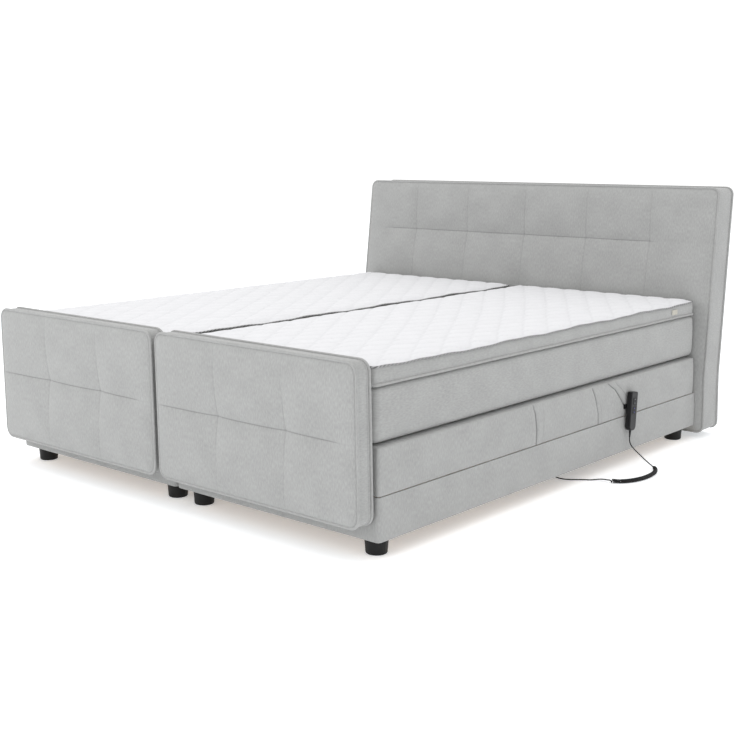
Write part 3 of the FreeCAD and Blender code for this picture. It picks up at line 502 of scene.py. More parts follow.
def rounded_loop(half, low, high, radius, step_x, step_z, arc_steps=5):
    """Points, outward normals and side names round a rounded rectangle in X and Z."""
    points, normals, kinds = [], [], []

    def run(start, end, normal, step, kind):
        count = max(1, int(round(math.dist(start, end) / step)))
        for share in np.arange(count) / count:
            points.append((start[0] + (end[0] - start[0]) * share,
                           start[1] + (end[1] - start[1]) * share))
            normals.append(normal)
            kinds.append(kind)

    def arc(centre, first, size, kinds_here):
        for step in range(arc_steps):
            angle = first + math.pi / 2 * step / arc_steps
            way = (math.cos(angle), math.sin(angle))
            points.append((centre[0] + size * way[0], centre[1] + size * way[1]))
            normals.append(way)
            kinds.append(kinds_here[0] if step < arc_steps / 2 else kinds_here[1])

    r_low, r_high = radius
    run((half, low + r_low), (half, high - r_high), (1, 0), step_z, SIDE)
    arc((half - r_high, high - r_high), 0, r_high, (SIDE, TOP))
    run((half - r_high, high), (-half + r_high, high), (0, 1), step_x, TOP)
    arc((-half + r_high, high - r_high), math.pi / 2, r_high, (TOP, SIDE))
    run((-half, high - r_high), (-half, low + r_low), (-1, 0), step_z, SIDE)
    arc((-half + r_low, low + r_low), math.pi, r_low, (SIDE, BOTTOM))
    run((-half + r_low, low), (half - r_low, low), (0, -1), 0.04, BOTTOM)
    arc((half - r_low, low + r_low), 1.5 * math.pi, r_low, (BOTTOM, SIDE))
    return np.array(points), np.array(normals), np.array(kinds)


def stations(start, end, step, round_start, round_end, arc_steps=6):
    """Y values along a pad, and how far its section pulls in at each rounded end."""
    angles = np.linspace(0, math.pi / 2, arc_steps + 1)[:-1]
    middle = spread(start + round_start, end - round_end, step)
    ys, insets = middle, np.zeros(len(middle))
    if round_start:
        ys = np.concatenate([start + round_start * (1 - np.cos(angles)), ys])
        insets = np.concatenate([round_start * (1 - np.sin(angles)), insets])
    if round_end:
        ys = np.concatenate([ys, end - round_end * (1 - np.cos(angles[::-1]))])
        insets = np.concatenate([insets, round_end * (1 - np.sin(angles[::-1]))])
    return ys, insets


def end_rounds(part, radius):
    """How far each end of a length is rounded: only the bed's own two ends are."""
    return radius if part == "foot" else 0, radius if part == "back" else 0


def level(y):
    return np.zeros_like(y)


def loft_pad(name, x0, loop, ys, insets, puff, materials, slot_of, drop, lift=level):
    """A pad lofted through the stations; puff gives each point's swell and its painted shade."""
    points, normals, kinds = loop
    points = np.vstack([points, points[:1]])
    normals = np.vstack([normals, normals[:1]])
    kinds = np.append(kinds, kinds[0])
    around = run_length(points)
    x = points[None, :, 0] - normals[None, :, 0] * insets[:, None]
    z = points[None, :, 1] - normals[None, :, 1] * np.minimum(insets, drop)[:, None]
    y = np.broadcast_to(ys[:, None], x.shape)
    z = z + lift(y) * (z - z.min()) / (z.max() - z.min())
    swell, mark = puff(x, y, z, np.broadcast_to(kinds, x.shape), insets[:, None])
    grid = np.stack([x0 + x + normals[None, :, 0] * swell, y, z + normals[None, :, 1] * swell], -1)
    uv = np.stack([y, np.broadcast_to(around, x.shape)], -1)[..., ::-1]
    shell = Shell()
    shell.add(grid, uv, mark, slot_of(kinds[:-1])[None, :])
    shell.cap(grid[0, :-1])
    shell.cap(grid[-1, :-1])
    return shell.make(name, materials)


def bend_pad(piece, side, part):
    """Bakes the placement of a soft length of mattress or topper into its mesh."""
    if part == "foot":
        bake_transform(piece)
    elif part == "seat":
        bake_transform(piece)
    else:
        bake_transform(piece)


def cad_sections(side, part, layer):
    """The plain solids that a soft length stands for; the seats' shared node goes with the right."""
    if part == "foot":
        return [f"{side}_foot_{layer}", f"{side}_thigh_{layer}"]
    if part == "back":
        return [f"{side}_back_{layer}"]
    plural = {"mattress": "seat_mattresses", "topper": "seat_toppers", "cover": "seat_covers"}[layer]
    return [plural] if side == "right" else []


def mattress_puff(seed, low, high):
    def puff(x, y, z, kinds, inset):
        height = np.clip((z - low) / (high - low), 0, 1)
        bulge = 0.0035 * np.sin(math.pi * height)
        uneven = sway(y, z, seed + (1 if seed % 2 else 2), 0.0012)
        return np.where(kinds == SIDE, bulge + uneven, 0.0), np.zeros_like(x)
    return puff


def make_mattress(side, part):
    half = MATTRESS_HIGH.x - HALF_X
    low = MATTRESS_LOW.z + MATTRESS_GAP
    high = MATTRESS_HIGH.z - 0.001
    loop = rounded_loop(half - 0.003, low, high, MATTRESS_ROUND, 0.03, 0.012)
    start, end = LENGTHS[part]
    ys, insets = stations(start, end, 0.018, *end_rounds(part, MATTRESS_END_ROUND))
    pad = loft_pad(f"{side}_mattress_{part}", SIDES[side], loop, ys, insets,
                   mattress_puff(len(side), low, high), [materials["chenille"]],
                   lambda kinds: np.zeros(len(kinds), int), 0.006)
    finish_soft(pad, side, part, "mattress")


def finish_soft(pad, side, part, layer, bend=bend_pad):
    bend(pad, side, part)
    replaced = cad_sections(side, part, layer)
    if replaced:
        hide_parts(*replaced)


def quilt(x, y, seed):
    """Height of wave quilting, and the painted shade in its stitch grooves: facing rows of swaying stitch
    lines.
    """
    y = y + 0.006 * np.sin(9.0 * x + seed)
    phase = 2 * math.pi * y / QUILT_WAVE
    column = np.floor(x / QUILT_PITCH)
    nearest = np.full_like(x, 1.0)
    for offset in (-1, 0, 1, 2):
        line = column + offset
        way = np.where(np.mod(line, 2) == 0, 1.0, -1.0)
        distance = np.abs(x - (line * QUILT_PITCH + way * QUILT_SWAY * np.cos(phase)))
        nearest = np.minimum(nearest, distance)
    height = 1 - np.exp(-nearest / 0.010)
    # stitch: painted shade along the stitch grooves
    stitch = bell(nearest, 0.0035)
    return height, stitch


def topper_lift(y):
    """How far the topper's upper edge stands above its even height: it curls up at the foot."""
    curled = TOPPER_CURL * bell(y - FOOT_END, TOPPER_CURL_REACH)
    return (curled + TOPPER_WAVE * np.sin(2 * math.pi * y / TOPPER_WAVE_LENGTH + 0.6)
            + TOPPER_RIPPLE * np.sin(2 * math.pi * y / QUILT_WAVE))


def topper_puff(half, low, border, high, seed, tip):
    def puff(x, y, z, kinds, inset):
        height, stitch = quilt(x, y, seed)
        distance = half - inset - np.abs(x)
        if tip is not None:
            distance = np.minimum(distance, np.abs(y - tip))
        edge = np.clip(distance / 0.060, 0, 1)
        crown = (high - border - topper_lift(y)) * (1 - (1 - edge) ** 2)
        top = crown + QUILT_PUFF * height * np.clip(edge * 2.5, 0, 1)
        share = np.clip((z - low) / (border - low), 0, 1)
        side = 0.003 * np.sin(math.pi * share) + sway(y, z, seed, 0.0010)
        swell = np.where(kinds == TOP, top, np.where(kinds == SIDE, side, 0))
        # the top's mark is painted shade in the quilt's stitch grooves
        return swell, np.where(kinds == TOP, 0.30 * stitch, 0)
    return puff


def make_topper(side, part):
    half = TOPPER_HIGH.x - HALF_X
    low = TOPPER_LOW.z
    border = low + TOPPER_BORDER
    high = TOPPER_HIGH.z
    loop = rounded_loop(half, low, border, (0.006, 0.004), 0.008, 0.008, 3)
    start, end = LENGTHS[part]
    ys, insets = stations(start, end, 0.008, *end_rounds(part, TOPPER_EDGE))
    tip = {"foot": start, "back": end}.get(part)
    pad = loft_pad(f"{side}_topper_{part}", SIDES[side], loop, ys, insets,
                   topper_puff(half, low, border, high, len(side), tip),
                   [materials["chenille"], materials["quilted_knit"]],
                   lambda kinds: (kinds == TOP).astype(int), 0.003, topper_lift)
    finish_soft(pad, side, part, "topper")
    for edge, height, radius, material in (
            ("upper", border - 0.0005, TWISTED_CORD_R, "twisted_cord"),
            ("lower", low + 0.0045, PIPING_R, "chenille")):
        outline = plan_outline(half + 0.0012, start, end, TOPPER_EDGE, part, 0.012)
        wave = topper_lift(outline[:, 1]) if edge == "upper" else sway(outline[:, 1], 0, 4, 0.0005)
        line = np.column_stack([outline[:, 0] + SIDES[side], outline[:, 1], height + wave])
        if part == "seat":
            half_way = len(line) // 2
            runs = [line[:half_way], line[half_way:]]
        else:
            runs = [line]
        piping = tubes(f"{side}_topper_{edge}_piping_{part}", runs, radius, materials[material])
        bend_pad(piping, side, part)


# ---- Piping ----
def plan_outline(half, start, end, radius, part, step):
    """The outline of a length seen from above, open where it meets the next length."""
    straight = spread(start, end, step)
    if part == "seat":
        right = np.column_stack([np.full(len(straight), half), straight])
        left = np.column_stack([np.full(len(straight), -half), straight[::-1]])
        return np.vstack([right, left])
    angles = np.linspace(0, math.pi / 2, 7)[1:-1]
    if part == "foot":
        tip, way = start, 1
        run = spread(end, start + radius, step)
    else:
        tip, way = end, -1
        run = spread(start, end - radius, step)
    across = spread(half - radius, -half + radius, 0.02)
    corner = np.column_stack([half - radius + radius * np.cos(angles),
                              tip + way * radius * (1 - np.sin(angles))])
    right = np.column_stack([np.full(len(run), half), run])
    middle = np.column_stack([across, np.full(len(across), tip)])
    left_corner = corner[::-1] * np.array([-1, 1])
    left = right[::-1] * np.array([-1, 1])
    return np.vstack([right, corner, middle, left_corner, left])


def tubes(name, runs, radius, material, closed=False, segments=10):
    """Round cords along lists of points, each closed at its ends or into a ring."""
    shell = Shell()
    for line in runs:
        line = np.asarray(line, float)
        if closed:
            ahead, behind = np.roll(line, -1, axis=0), np.roll(line, 1, axis=0)
        else:
            ahead, behind = np.vstack([line[1:], line[-1:]]), np.vstack([line[:1], line[:-1]])
        tangents = ahead - behind
        tangents /= np.linalg.norm(tangents, axis=1)[:, None]
        first = np.cross(tangents[0], (0.0, 0.0, 1.0))
        if np.linalg.norm(first) < 0.1:
            first = np.cross(tangents[0], (1.0, 0.0, 0.0))
        sides = []
        across = first
        for tangent in tangents:
            across = across - tangent * (across @ tangent)
            across = across / np.linalg.norm(across)
            sides.append(across)
        sides = np.array(sides)
        ups = np.cross(tangents, sides)
        length = run_length(line)
        angles = np.linspace(0, 2 * math.pi, segments + 1)
        ring = (sides[:, None, :] * np.cos(angles)[None, :, None]
                + ups[:, None, :] * np.sin(angles)[None, :, None])
        grid = line[:, None, :] + radius * ring
        grid[:, -1] = grid[:, 0]
        uv = np.stack(np.broadcast_arrays(angles[None, :] * radius, length[:, None]), -1)
        if closed:
            step = np.linalg.norm(line[0] - line[-1])
            turned = best_turn(grid[0, :-1], grid[-1, :-1])
            closing = np.roll(grid[0, :-1], -turned, axis=0)
            closing = np.vstack([closing, closing[:1]])
            grid = np.concatenate([grid, closing[None]])
            uv = np.concatenate([uv, uv[-1:] + np.array([0, step])])
        shell.add(grid, uv)
        if not closed:
            shell.cap(grid[0, :-1])
            shell.cap(grid[-1, :-1])
    return shell.make(name, [material], 60.0)


def best_turn(first, last):
    """How many segments a ring is turned so that it meets the ring it closes on."""
    gaps = [np.abs(np.roll(first, -turn, axis=0) - last).sum() for turn in range(len(first))]
    return int(np.argmin(gaps))


# ---- Walls: deck sleeves and base covers ----
def wall_profile(low, high, outer, inner, round_low, round_high, flange=0.0):
    """The closed section of an upholstered wall: distance from its line, and height."""
    points = []
    for angle in np.linspace(0, math.pi / 2, 4):
        points.append((outer - round_low * (1 - math.sin(angle)),
                       low + round_low * (1 - math.cos(angle))))
    for height in np.linspace(low + round_low, high - round_high, 11)[1:-1]:
        points.append((outer, height))
    for angle in np.linspace(0, math.pi / 2, 5):
        points.append((outer - round_high * (1 - math.cos(angle)),
                       high - round_high * (1 - math.sin(angle))))
    if flange:
        points += [(inner - flange, high), (inner - flange, high - FLANGE_THICK), (inner, high - FLANGE_THICK)]
    else:
        points.append((inner, high))
    points += [(inner, (low + high) / 2), (inner, low)]
    return np.array(points + points[:1])


# Lines across the deck's side, by their distance from the foot end. The ones in CREASE_PATHS
# slant or curve, and have a distance for each of CREASE_HEIGHTS.
CREASE_LINES = np.array([
    0.0, 0.70, 0.805, 0.860, 0.97, 1.02, 1.12, 1.200, 1.222, 1.284, 1.352, 1.405, 1.60, 2.0])
CREASE_HEIGHTS = (0.192, 0.237, 0.303, 0.324, 0.335)
CREASE_PATHS = {
    0.805: [0.821, 0.822, 0.812, 0.801, 0.798], 0.860: [0.856, 0.862, 0.862, 0.858, 0.856],
    1.200: [1.228, 1.222, 1.199, 1.186, 1.182], 1.222: [1.250, 1.245, 1.222, 1.208, 1.204],
    1.352: [1.457, 1.411, 1.346, 1.302, 1.290], 1.405: [1.500, 1.460, 1.384, 1.350, 1.340]}
STRENGTH_HEIGHTS = (0.19, 0.24, 0.30, 0.335)


def crease_controls(z, y0):
    """Where the lines across the deck's side run at each height, as (straight, bent) Y."""
    bent = [np.interp(z, CREASE_HEIGHTS, CREASE_PATHS[value]) if value in CREASE_PATHS
            else np.full_like(z, value) for value in CREASE_LINES]
    return CREASE_LINES + y0, np.array(bent) + y0


CREASES = [
    # place, depth, width, and how strong it is at each of STRENGTH_HEIGHTS
    (0.805, 0.0030, 0.0030, (0.9, 1.0, 1.0, 0.6)),
    (0.860, 0.0007, 0.0050, (0.7, 1.0, 0.6, 0.0)),
    (1.200, 0.0030, 0.0030, (0.9, 0.7, 1.0, 0.8)),
    (1.222, 0.0009, 0.0045, (1.0, 0.9, 0.3, 0.0)),
    (1.352, 0.0034, 0.0032, (0.5, 1.0, 1.0, 0.9)),
    (1.405, 0.0012, 0.0045, (0.0, 0.6, 1.0, 0.5))]


def bend_walls(y, z, y0):
    """Moves upright columns onto the slanted and curved crease lines."""
    moved = np.array(y)
    for column in range(y.shape[1]):
        straight, bent = crease_controls(z[:, column], y0)
        for row in range(y.shape[0]):
            moved[row, column] = np.interp(y[row, column], straight, bent[:, row])
    return moved


def crease_shape(y, z, y0):
    """How far the cloth sinks at the creases and rises beside them, and the painted shade along each crease.
    """
    swell = np.zeros_like(y)
    mark = np.zeros_like(y)
    for place, depth, width, strengths in CREASES:
        strength = np.interp(z, STRENGTH_HEIGHTS, strengths)
        distance = y - (y0 + place)
        line = bell(distance, width)
        valley = bell(distance, 7 * width)
        ridge = bell(np.abs(distance) - 5 * width, 4 * width)
        swell = swell + strength * (-depth * line - 0.3 * depth * valley + 0.55 * depth * ridge)
        # painted shade along the crease line
        mark = np.maximum(mark, 0.75 * strength * line * min(1.0, depth / 0.003))
    return swell, mark


def wall_stations(start, end, y0):
    """Y values along a wall, close together at the creases."""
    values = set(np.round(spread(start, end, 0.014), 5))
    for place, depth, width, strengths in CREASES:
        middle = y0 + place
        for share in np.linspace(-6, 6, 25):
            value = round(middle + share * width, 5)
            if start < value < end:
                values.add(value)
    values = np.array(sorted(values))
    keep = [0]
    for index in range(1, len(values)):
        if values[index] - values[keep[-1]] > 0.0012 or index == len(values) - 1:
            keep.append(index)
    return values[keep]


def deck_line(part, reach):
    """The line of a sleeve seen from above, with its outward normals."""
    start, end = DECK_LENGTHS[part]
    run = wall_stations(start, end, FOOT_END)
    right = np.column_stack([np.full(len(run), reach), run])
    right_normal = np.tile((1.0, 0.0), (len(run), 1))
    if part == "seat":
        return [(right, right_normal), (right * (-1, 1), right_normal * (-1, 1))]
    way = -1 if part == "foot" else 1
    corner = DECK_CORNER
    tip = start if part == "foot" else end
    keep = np.abs(run - tip) > corner
    run = run[keep] if part == "back" else run[keep][::-1]
    right = np.column_stack([np.full(len(run), reach), run])
    right_normal = np.tile((1.0, 0.0), (len(run), 1))
    angles = np.linspace(0, math.pi / 2, 7)
    arc_normal = np.column_stack([np.cos(angles), way * np.sin(angles)])
    arc = np.array([reach - corner, tip - way * corner]) + corner * arc_normal
    across = spread(reach - corner, -(reach - corner), 0.03)[1:-1]
    end_run = np.column_stack([across, np.full(len(across), tip)])
    end_normal = np.tile((0.0, float(way)), (len(across), 1))
    mirror = np.array([-1, 1])
    line = np.vstack([right, arc, end_run, (arc * mirror)[::-1], (right * mirror)[::-1]])
    normal = np.vstack([right_normal, arc_normal, end_normal, (arc_normal * mirror)[::-1],
                        (right_normal * mirror)[::-1]])
    return [(line, normal)]


def from_tip(line):
    """Distance of each point of an open U-shaped line from the U's closed end."""
    tip = line[len(line) // 2, 1]
    return np.abs(line[:, 1] - tip)


def wall(x0, line, normal, profile, shape, closed=False, mitred=False):
    """Sweeps a wall's section along its line, cutting a wide flange to a mitre at corners."""
    if closed:
        line, normal = np.vstack([line, line[:1]]), np.vstack([normal, normal[:1]])
    outer = profile[:, 0].max()
    inner = -COVER_THICK
    z = np.broadcast_to(profile[None, :, 1], (len(line), len(profile)))
    y_line = np.broadcast_to(line[:, 1:2], z.shape)
    swell, mark = shape(y_line, z, normal)
    skin = np.clip((profile[None, :, 0] - inner) / (outer - inner) * 2 - 1, 0, 1)
    from_corner = np.maximum(from_tip(line), line[:, 0].max() - np.abs(line[:, 0]))
    room = np.maximum(from_corner, 0.010) if mitred else np.full(len(line), 1.0)
    offset = np.maximum(profile[None, :, 0] + swell * skin, -room[:, None])
    x = line[:, :1] + normal[:, :1] * offset
    y = y_line + normal[:, 1:] * offset
    along = run_length(line)
    grid = np.stack([x0 + x, y, z], -1)
    uv = np.stack(np.broadcast_arrays(along[:, None], z), -1)
    return grid, uv, mark * skin


def make_sleeve(side, part):
    """The cover of the deck's sides, creased where the deck folds."""
    low, high = DECK_LOW.z, DECK_HIGH.z
    profile = wall_profile(
        low, high + FLANGE_THICK, -DECK_PULL_IN, -COVER_THICK, 0.0018, 0.0055, DECK_FLANGE)
    shell = Shell()
    for line, normal in deck_line(part, HALF_WIDTH):
        def shape(y, z, normal):
            swell, mark = crease_shape(y, z, FOOT_END)
            on_side = np.abs(normal[:, :1])
            height = (z - low) / (high - low)
            bulge = 0.0026 * np.sin(math.pi * np.clip(height, 0, 1)) + sway(y, z, 11, 0.0007)
            return swell * on_side + bulge, mark * on_side

        grid, uv, mark = wall(SIDES[side], line, normal, profile, shape, mitred=part != "seat")
        grid[..., 1] = bend_walls(grid[..., 1], grid[..., 2], FOOT_END)
        shell.add(grid, uv, mark)
        shell.cap(grid[0, :-1])
        shell.cap(grid[-1, :-1])
    sleeve = shell.make(f"{side}_deck_sleeve_{part}", [materials["chenille"]], 55.0)
    finish_soft(sleeve, side, part, "cover", bend_sleeve)


def bend_sleeve(piece, side, part):
    if part == "foot":
        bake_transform(piece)
    elif part == "seat":
        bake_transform(piece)
    else:
        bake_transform(piece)


def make_base_cover(side):
    """The lower box's cover, which wraps all round it."""
    half = HALF_WIDTH - BASE_CORNER
    corner = BASE_CORNER
    y0, y1 = BASE_LOW.y + corner, BASE_HIGH.y - corner
    line, normal = [], []
    run_y = spread(y0, y1, 0.02)
    run_x = spread(half, -half, 0.02)
    angles = np.linspace(0, math.pi / 2, 7)[1:-1]

    def add_run(points, way):
        line.extend(points)
        normal.extend([way] * len(points))

    def add_arc(centre, first):
        for angle in first + angles:
            way = (math.cos(angle), math.sin(angle))
            line.append((centre[0] + corner * way[0], centre[1] + corner * way[1]))
            normal.append(way)

    add_run([(HALF_WIDTH, y) for y in run_y], (1, 0))
    add_arc((half, y1), 0)
    add_run([(x, BASE_HIGH.y) for x in run_x], (0, 1))
    add_arc((-half, y1), math.pi / 2)
    add_run([(-HALF_WIDTH, y) for y in run_y[::-1]], (-1, 0))
    add_arc((-half, y0), math.pi)
    add_run([(x, BASE_LOW.y) for x in run_x[::-1]], (0, -1))
    add_arc((half, y0), 1.5 * math.pi)
    low, high = BASE_LOW.z, BASE_HIGH.z
    profile = wall_profile(low, high, 0.0, -COVER_THICK, 0.0040, 0.0018)

    def shape(y, z, normal):
        height = np.clip((z - low) / (high - low), 0, 1)
        return 0.0022 * np.sin(math.pi * height) + sway(y, z, 7, 0.0008), np.zeros_like(z)

    shell = Shell()
    grid, uv, mark = wall(SIDES[side], np.array(line), np.array(normal), profile, shape, closed=True)
    shell.add(grid, uv, mark)
    cover = shell.make(f"{side}_base_cover", [materials["chenille"]], 55.0)
    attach(cover, "root")
    if side == "right":
        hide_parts("base_covers")


# ---- Tufted boards ----
class Board:
    """A tufted, piped cushion seen from the front, with its half width and heights."""

    def __init__(self, x0, half, low, high, corner, front, thick, step, tufts):
        self.x0 = x0
        self.half = half
        self.low = low
        self.high = high
        self.middle = (low + high) / 2
        self.corner = corner
        self.front = front
        self.thick = thick
        self.columns = refined(-half, half, step, [tuft[0] for tuft in tufts])
        self.rows = refined(low, high, step, [tufts[0][1]])

    def past_flat(self, x, z):
        """How far points lie beyond where the outline's corners begin, across and up."""
        return (np.abs(x) - (self.half - self.corner),
                np.abs(z - self.middle) - ((self.high - self.low) / 2 - self.corner))

    def grid(self):
        """(x, z) places with the outer rows on the rounded outline."""
        x, z = np.meshgrid(self.columns, self.rows, indexing="ij")
        middle = self.middle
        flat_x = self.half - self.corner
        flat_z = (self.high - self.low) / 2 - self.corner
        a = np.clip((np.abs(x) - flat_x) / self.corner, 0, 1)
        b = np.clip((np.abs(z - middle) - flat_z) / self.corner, 0, 1)
        round_x = np.minimum(np.abs(x), flat_x) + self.corner * a * np.sqrt(1 - b * b / 2)
        round_z = np.minimum(np.abs(z - middle), flat_z) + self.corner * b * np.sqrt(1 - a * a / 2)
        return np.sign(x) * round_x, middle + np.sign(z - middle) * round_z

    def edge_distance(self, x, z):
        qx, qz = self.past_flat(x, z)
        outside = np.hypot(np.maximum(qx, 0), np.maximum(qz, 0))
        return self.corner - outside - np.minimum(np.maximum(qx, qz), 0)

    def outline_normal(self, x, z):
        qx, qz = self.past_flat(x, z)
        corner = (qx > 0) & (qz > 0)
        nx = np.where(corner, qx, (qx > qz).astype(float)) * np.where(x < 0, -1.0, 1.0)
        nz = np.where(corner, qz, (qz >= qx).astype(float)) * np.where(z < self.middle, -1.0, 1.0)
        length = np.hypot(nx, nz)
        return nx / length, nz / length

    def rim(self, field):
        """A field's values once round the outer rows."""
        return np.concatenate([field[:, 0], field[-1, 1:], field[-2::-1, -1], field[0, -2::-1]])

    def outline(self, inset=0.0):
        """Points round the outline, pulled in or let out a little."""
        x, z = self.grid()
        x, z = self.rim(x)[:-1], self.rim(z)[:-1]
        nx, nz = self.outline_normal(x, z)
        return x - nx * inset, z - nz * inset


def refined(start, end, step, lines):
    """Values from start to end that close up round each line and at both ends."""
    values = list(spread(start, end, step))
    for line in lines:
        values = [value for value in values if abs(value - line) > 0.014]
        for gap in (0.0, 0.0012, 0.003, 0.006, 0.010, 0.015):
            values += [line - gap, line + gap]
    for gap in (0.002, 0.005):
        values += [start + gap, end - gap]
    return np.array(sorted(set(np.round(values, 5))))


def tufting(x, z, tufts, seam, reach, fold):
    """How deep the cover is drawn in by its tufts, seam and folds, and the painted shade in the tuft dimples,
    fold lines and seam.
    """
    start, end, seam_z = seam
    depth = np.zeros_like(x)
    mark = np.zeros_like(x)
    for tuft_x, tuft_z in tufts:
        dx, dz = x - tuft_x, z - tuft_z
        far = np.hypot(dx, dz)
        depth = depth + 0.0080 * np.exp(-far / 0.018) + 0.0060 * bell(far, 0.065)
        fade = fold + (1 - fold) * np.exp(-(np.abs(dz) / reach) ** 1.3)
        depth = depth + fade * (
            0.0050 * np.exp(-np.abs(dx) / 0.007) + 0.0080 * np.exp(-np.abs(dx) / 0.032))
        # painted shade in each tuft dimple and along its fold line
        mark = np.maximum(mark, 0.5 * bell(far, 0.005))
        mark = np.maximum(mark, 0.20 * fade * bell(dx, 0.0022))
    within = 1 / (1 + np.exp(-(x - start) / 0.012)) / (1 + np.exp((x - end) / 0.012))
    dz = np.abs(z - seam_z)
    depth = depth + within * (0.0045 * np.exp(-dz / 0.005) + 0.0075 * np.exp(-dz / 0.028))
    # painted shade along the seam groove
    mark = np.maximum(mark, 0.5 * within * bell(dz, 0.0018))
    depth = TUFT_LIMIT * (1 - np.exp(-depth / TUFT_LIMIT))
    return depth, mark


def settle(grid, sewn):
    """Blows a sheet of cover up between its sewn lines with the cloth solver."""
    rows, columns = grid.shape[:2]
    mesh = bpy.data.meshes.new("cover")
    mesh.from_pydata(grid.reshape(-1, 3).tolist(), [], grid_faces(rows, columns))
    sheet = add_object("cover", mesh)
    group = sheet.vertex_groups.new(name="sewn")
    for point, weight in enumerate(sewn.reshape(-1)):
        group.add([point], float(weight), "REPLACE")
    cloth = sheet.modifiers.new("cloth", "CLOTH")
    cloth.settings.vertex_group_mass = "sewn"
    cloth.settings.mass = CLOTH_MASS
    cloth.settings.use_pressure = True
    cloth.settings.uniform_pressure_force = CLOTH_PRESSURE
    cloth.settings.tension_stiffness = 15.0
    cloth.settings.compression_stiffness = 15.0
    cloth.settings.bending_stiffness = 0.5
    cloth.settings.effector_weights.gravity = 0.0
    cloth.collision_settings.use_collision = False
    cloth.point_cache.frame_start = 1
    cloth.point_cache.frame_end = CLOTH_FRAMES
    for number in range(1, CLOTH_FRAMES + 1):
        bpy.context.scene.frame_set(number)
    settled = sheet.evaluated_get(bpy.context.evaluated_depsgraph_get()).data
    places = np.empty(rows * columns * 3, np.float32)
    settled.vertices.foreach_get("co", places)
    bpy.context.scene.frame_set(1)
    bpy.data.objects.remove(sheet)
    bpy.data.meshes.remove(mesh)
    moved = places.reshape(grid.shape).astype(float) - grid
    far = np.linalg.norm(moved, axis=-1, keepdims=True)
    return grid + moved * CLOTH_CAP * np.tanh(far / CLOTH_CAP) / np.maximum(far, 1e-9)


def sewn_lines(x, z, tufts, seam, inward):
    """How firmly each point of the cover is held: fully at its edge, tufts and seam."""
    start, end, seam_z = seam
    held = bell(inward, 0.016)
    for tuft_x, tuft_z in tufts:
        held = np.maximum(held, np.exp(-((x - tuft_x) ** 2 + (z - tuft_z) ** 2) / 0.012 ** 2))
        held = np.maximum(held, 0.8 * bell(x - tuft_x, 0.004))
    within = (x > start) & (x < end)
    return np.maximum(held, within * bell(z - seam_z, 0.004))


def make_board(name, board, tufts, seam, reach, fold, crown, edge_soft):
    """The cushion itself: a tufted front, a flat band round it and a plain back."""
    x, z = board.grid()
    inward = board.edge_distance(x, z)
    depth, mark = tufting(x, z, tufts, seam, reach, fold)
    pull = 1 - np.exp(-inward / 0.05)
    rise = crown * (1 - np.exp(-inward / edge_soft)) - depth * pull
    y = board.front(z) - rise + 0.003 * np.exp(-inward / 0.006)
    rim_x, rim_z = board.rim(x), board.rim(z)
    nx, nz = board.outline_normal(rim_x, rim_z)
    tuck = np.exp(-inward / 0.003)
    full_nx, full_nz = board.outline_normal(x, z)
    x_in, z_in = x - full_nx * BOARD_INSET * tuck, z - full_nz * BOARD_INSET * tuck
    front = np.stack([board.x0 + x_in, y, z_in], -1)
    front = settle(front, sewn_lines(x, z, tufts, seam, inward))
    back_y = (board.front(z) + board.thick + 0.004 * (1 - np.exp(-inward / 0.04))
              - 0.003 * np.exp(-inward / 0.006))
    back = np.stack([board.x0 + x_in, back_y, z_in], -1)
    # painted shade in the groove beside the piping, round the front's and back's edges
    rim_shade = 0.45 * bell(inward, 0.005)
    shell = Shell()
    shell.add(front, np.stack([x, z], -1), np.maximum(mark, rim_shade))
    shell.add(back, np.stack([x, z], -1), rim_shade)
    around = np.concatenate([[0], np.cumsum(np.hypot(np.diff(rim_x), np.diff(rim_z)))])
    first, last = board.rim(y), board.rim(back_y)
    across = board.thick - np.array([0.0, 0.004, 0.008, 0.012, 0.014, 0.016, 0.020])
    shares = np.concatenate([
        [0, 0.004 / board.thick], spread(0.008 / board.thick, 1 - 0.026 / board.thick, 0.25),
        across[::-1] / board.thick])[:, None]
    bulge = BOARD_INSET - BAND_BULGE * np.sin(math.pi * shares)
    band_y = first[None] + (last - first)[None] * shares
    band = np.stack([board.x0 + rim_x[None] - nx[None] * bulge, band_y,
                     rim_z[None] - nz[None] * bulge], -1)
    uv = np.stack(np.broadcast_arrays(around[None], band_y), -1)
    # painted shade along both edges of the band beside the piping, and along a second seam line near the rear
    band_shade = 0.45 * bell(np.minimum(shares, 1 - shares) * board.thick, 0.004) + 0 * band_y
    second_seam_shade = 0.30 * np.exp(-((1 - shares) * board.thick - SECOND_SEAM) ** 2 / 0.0025 ** 2)
    band_shade = np.maximum(band_shade, second_seam_shade)
    shell.add(band, uv, band_shade)
    return shell.make(name, [materials["chenille"]], 70.0)


def board_piping(name, board, depth, radius):
    """A ring of piping round the outline, at a depth behind the front."""
    x, z = board.outline(0.0012)
    line = np.column_stack([board.x0 + x, board.front(z) + depth, z])
    piping = tubes(name, [line], radius, materials["chenille"], closed=True)
    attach(piping, "root")


def finish_board(name, cushion, board, stands_for=None):
    """Fixes a board's cushion to the bed and pipes both of its edges."""
    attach(cushion, "root")
    if stands_for:
        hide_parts(stands_for)
    for place, depth in (("front", PIPING_DEPTH), ("rear", board.thick - PIPING_DEPTH)):
        board_piping(f"{name}_{place}_piping", board, depth, PIPING_R)


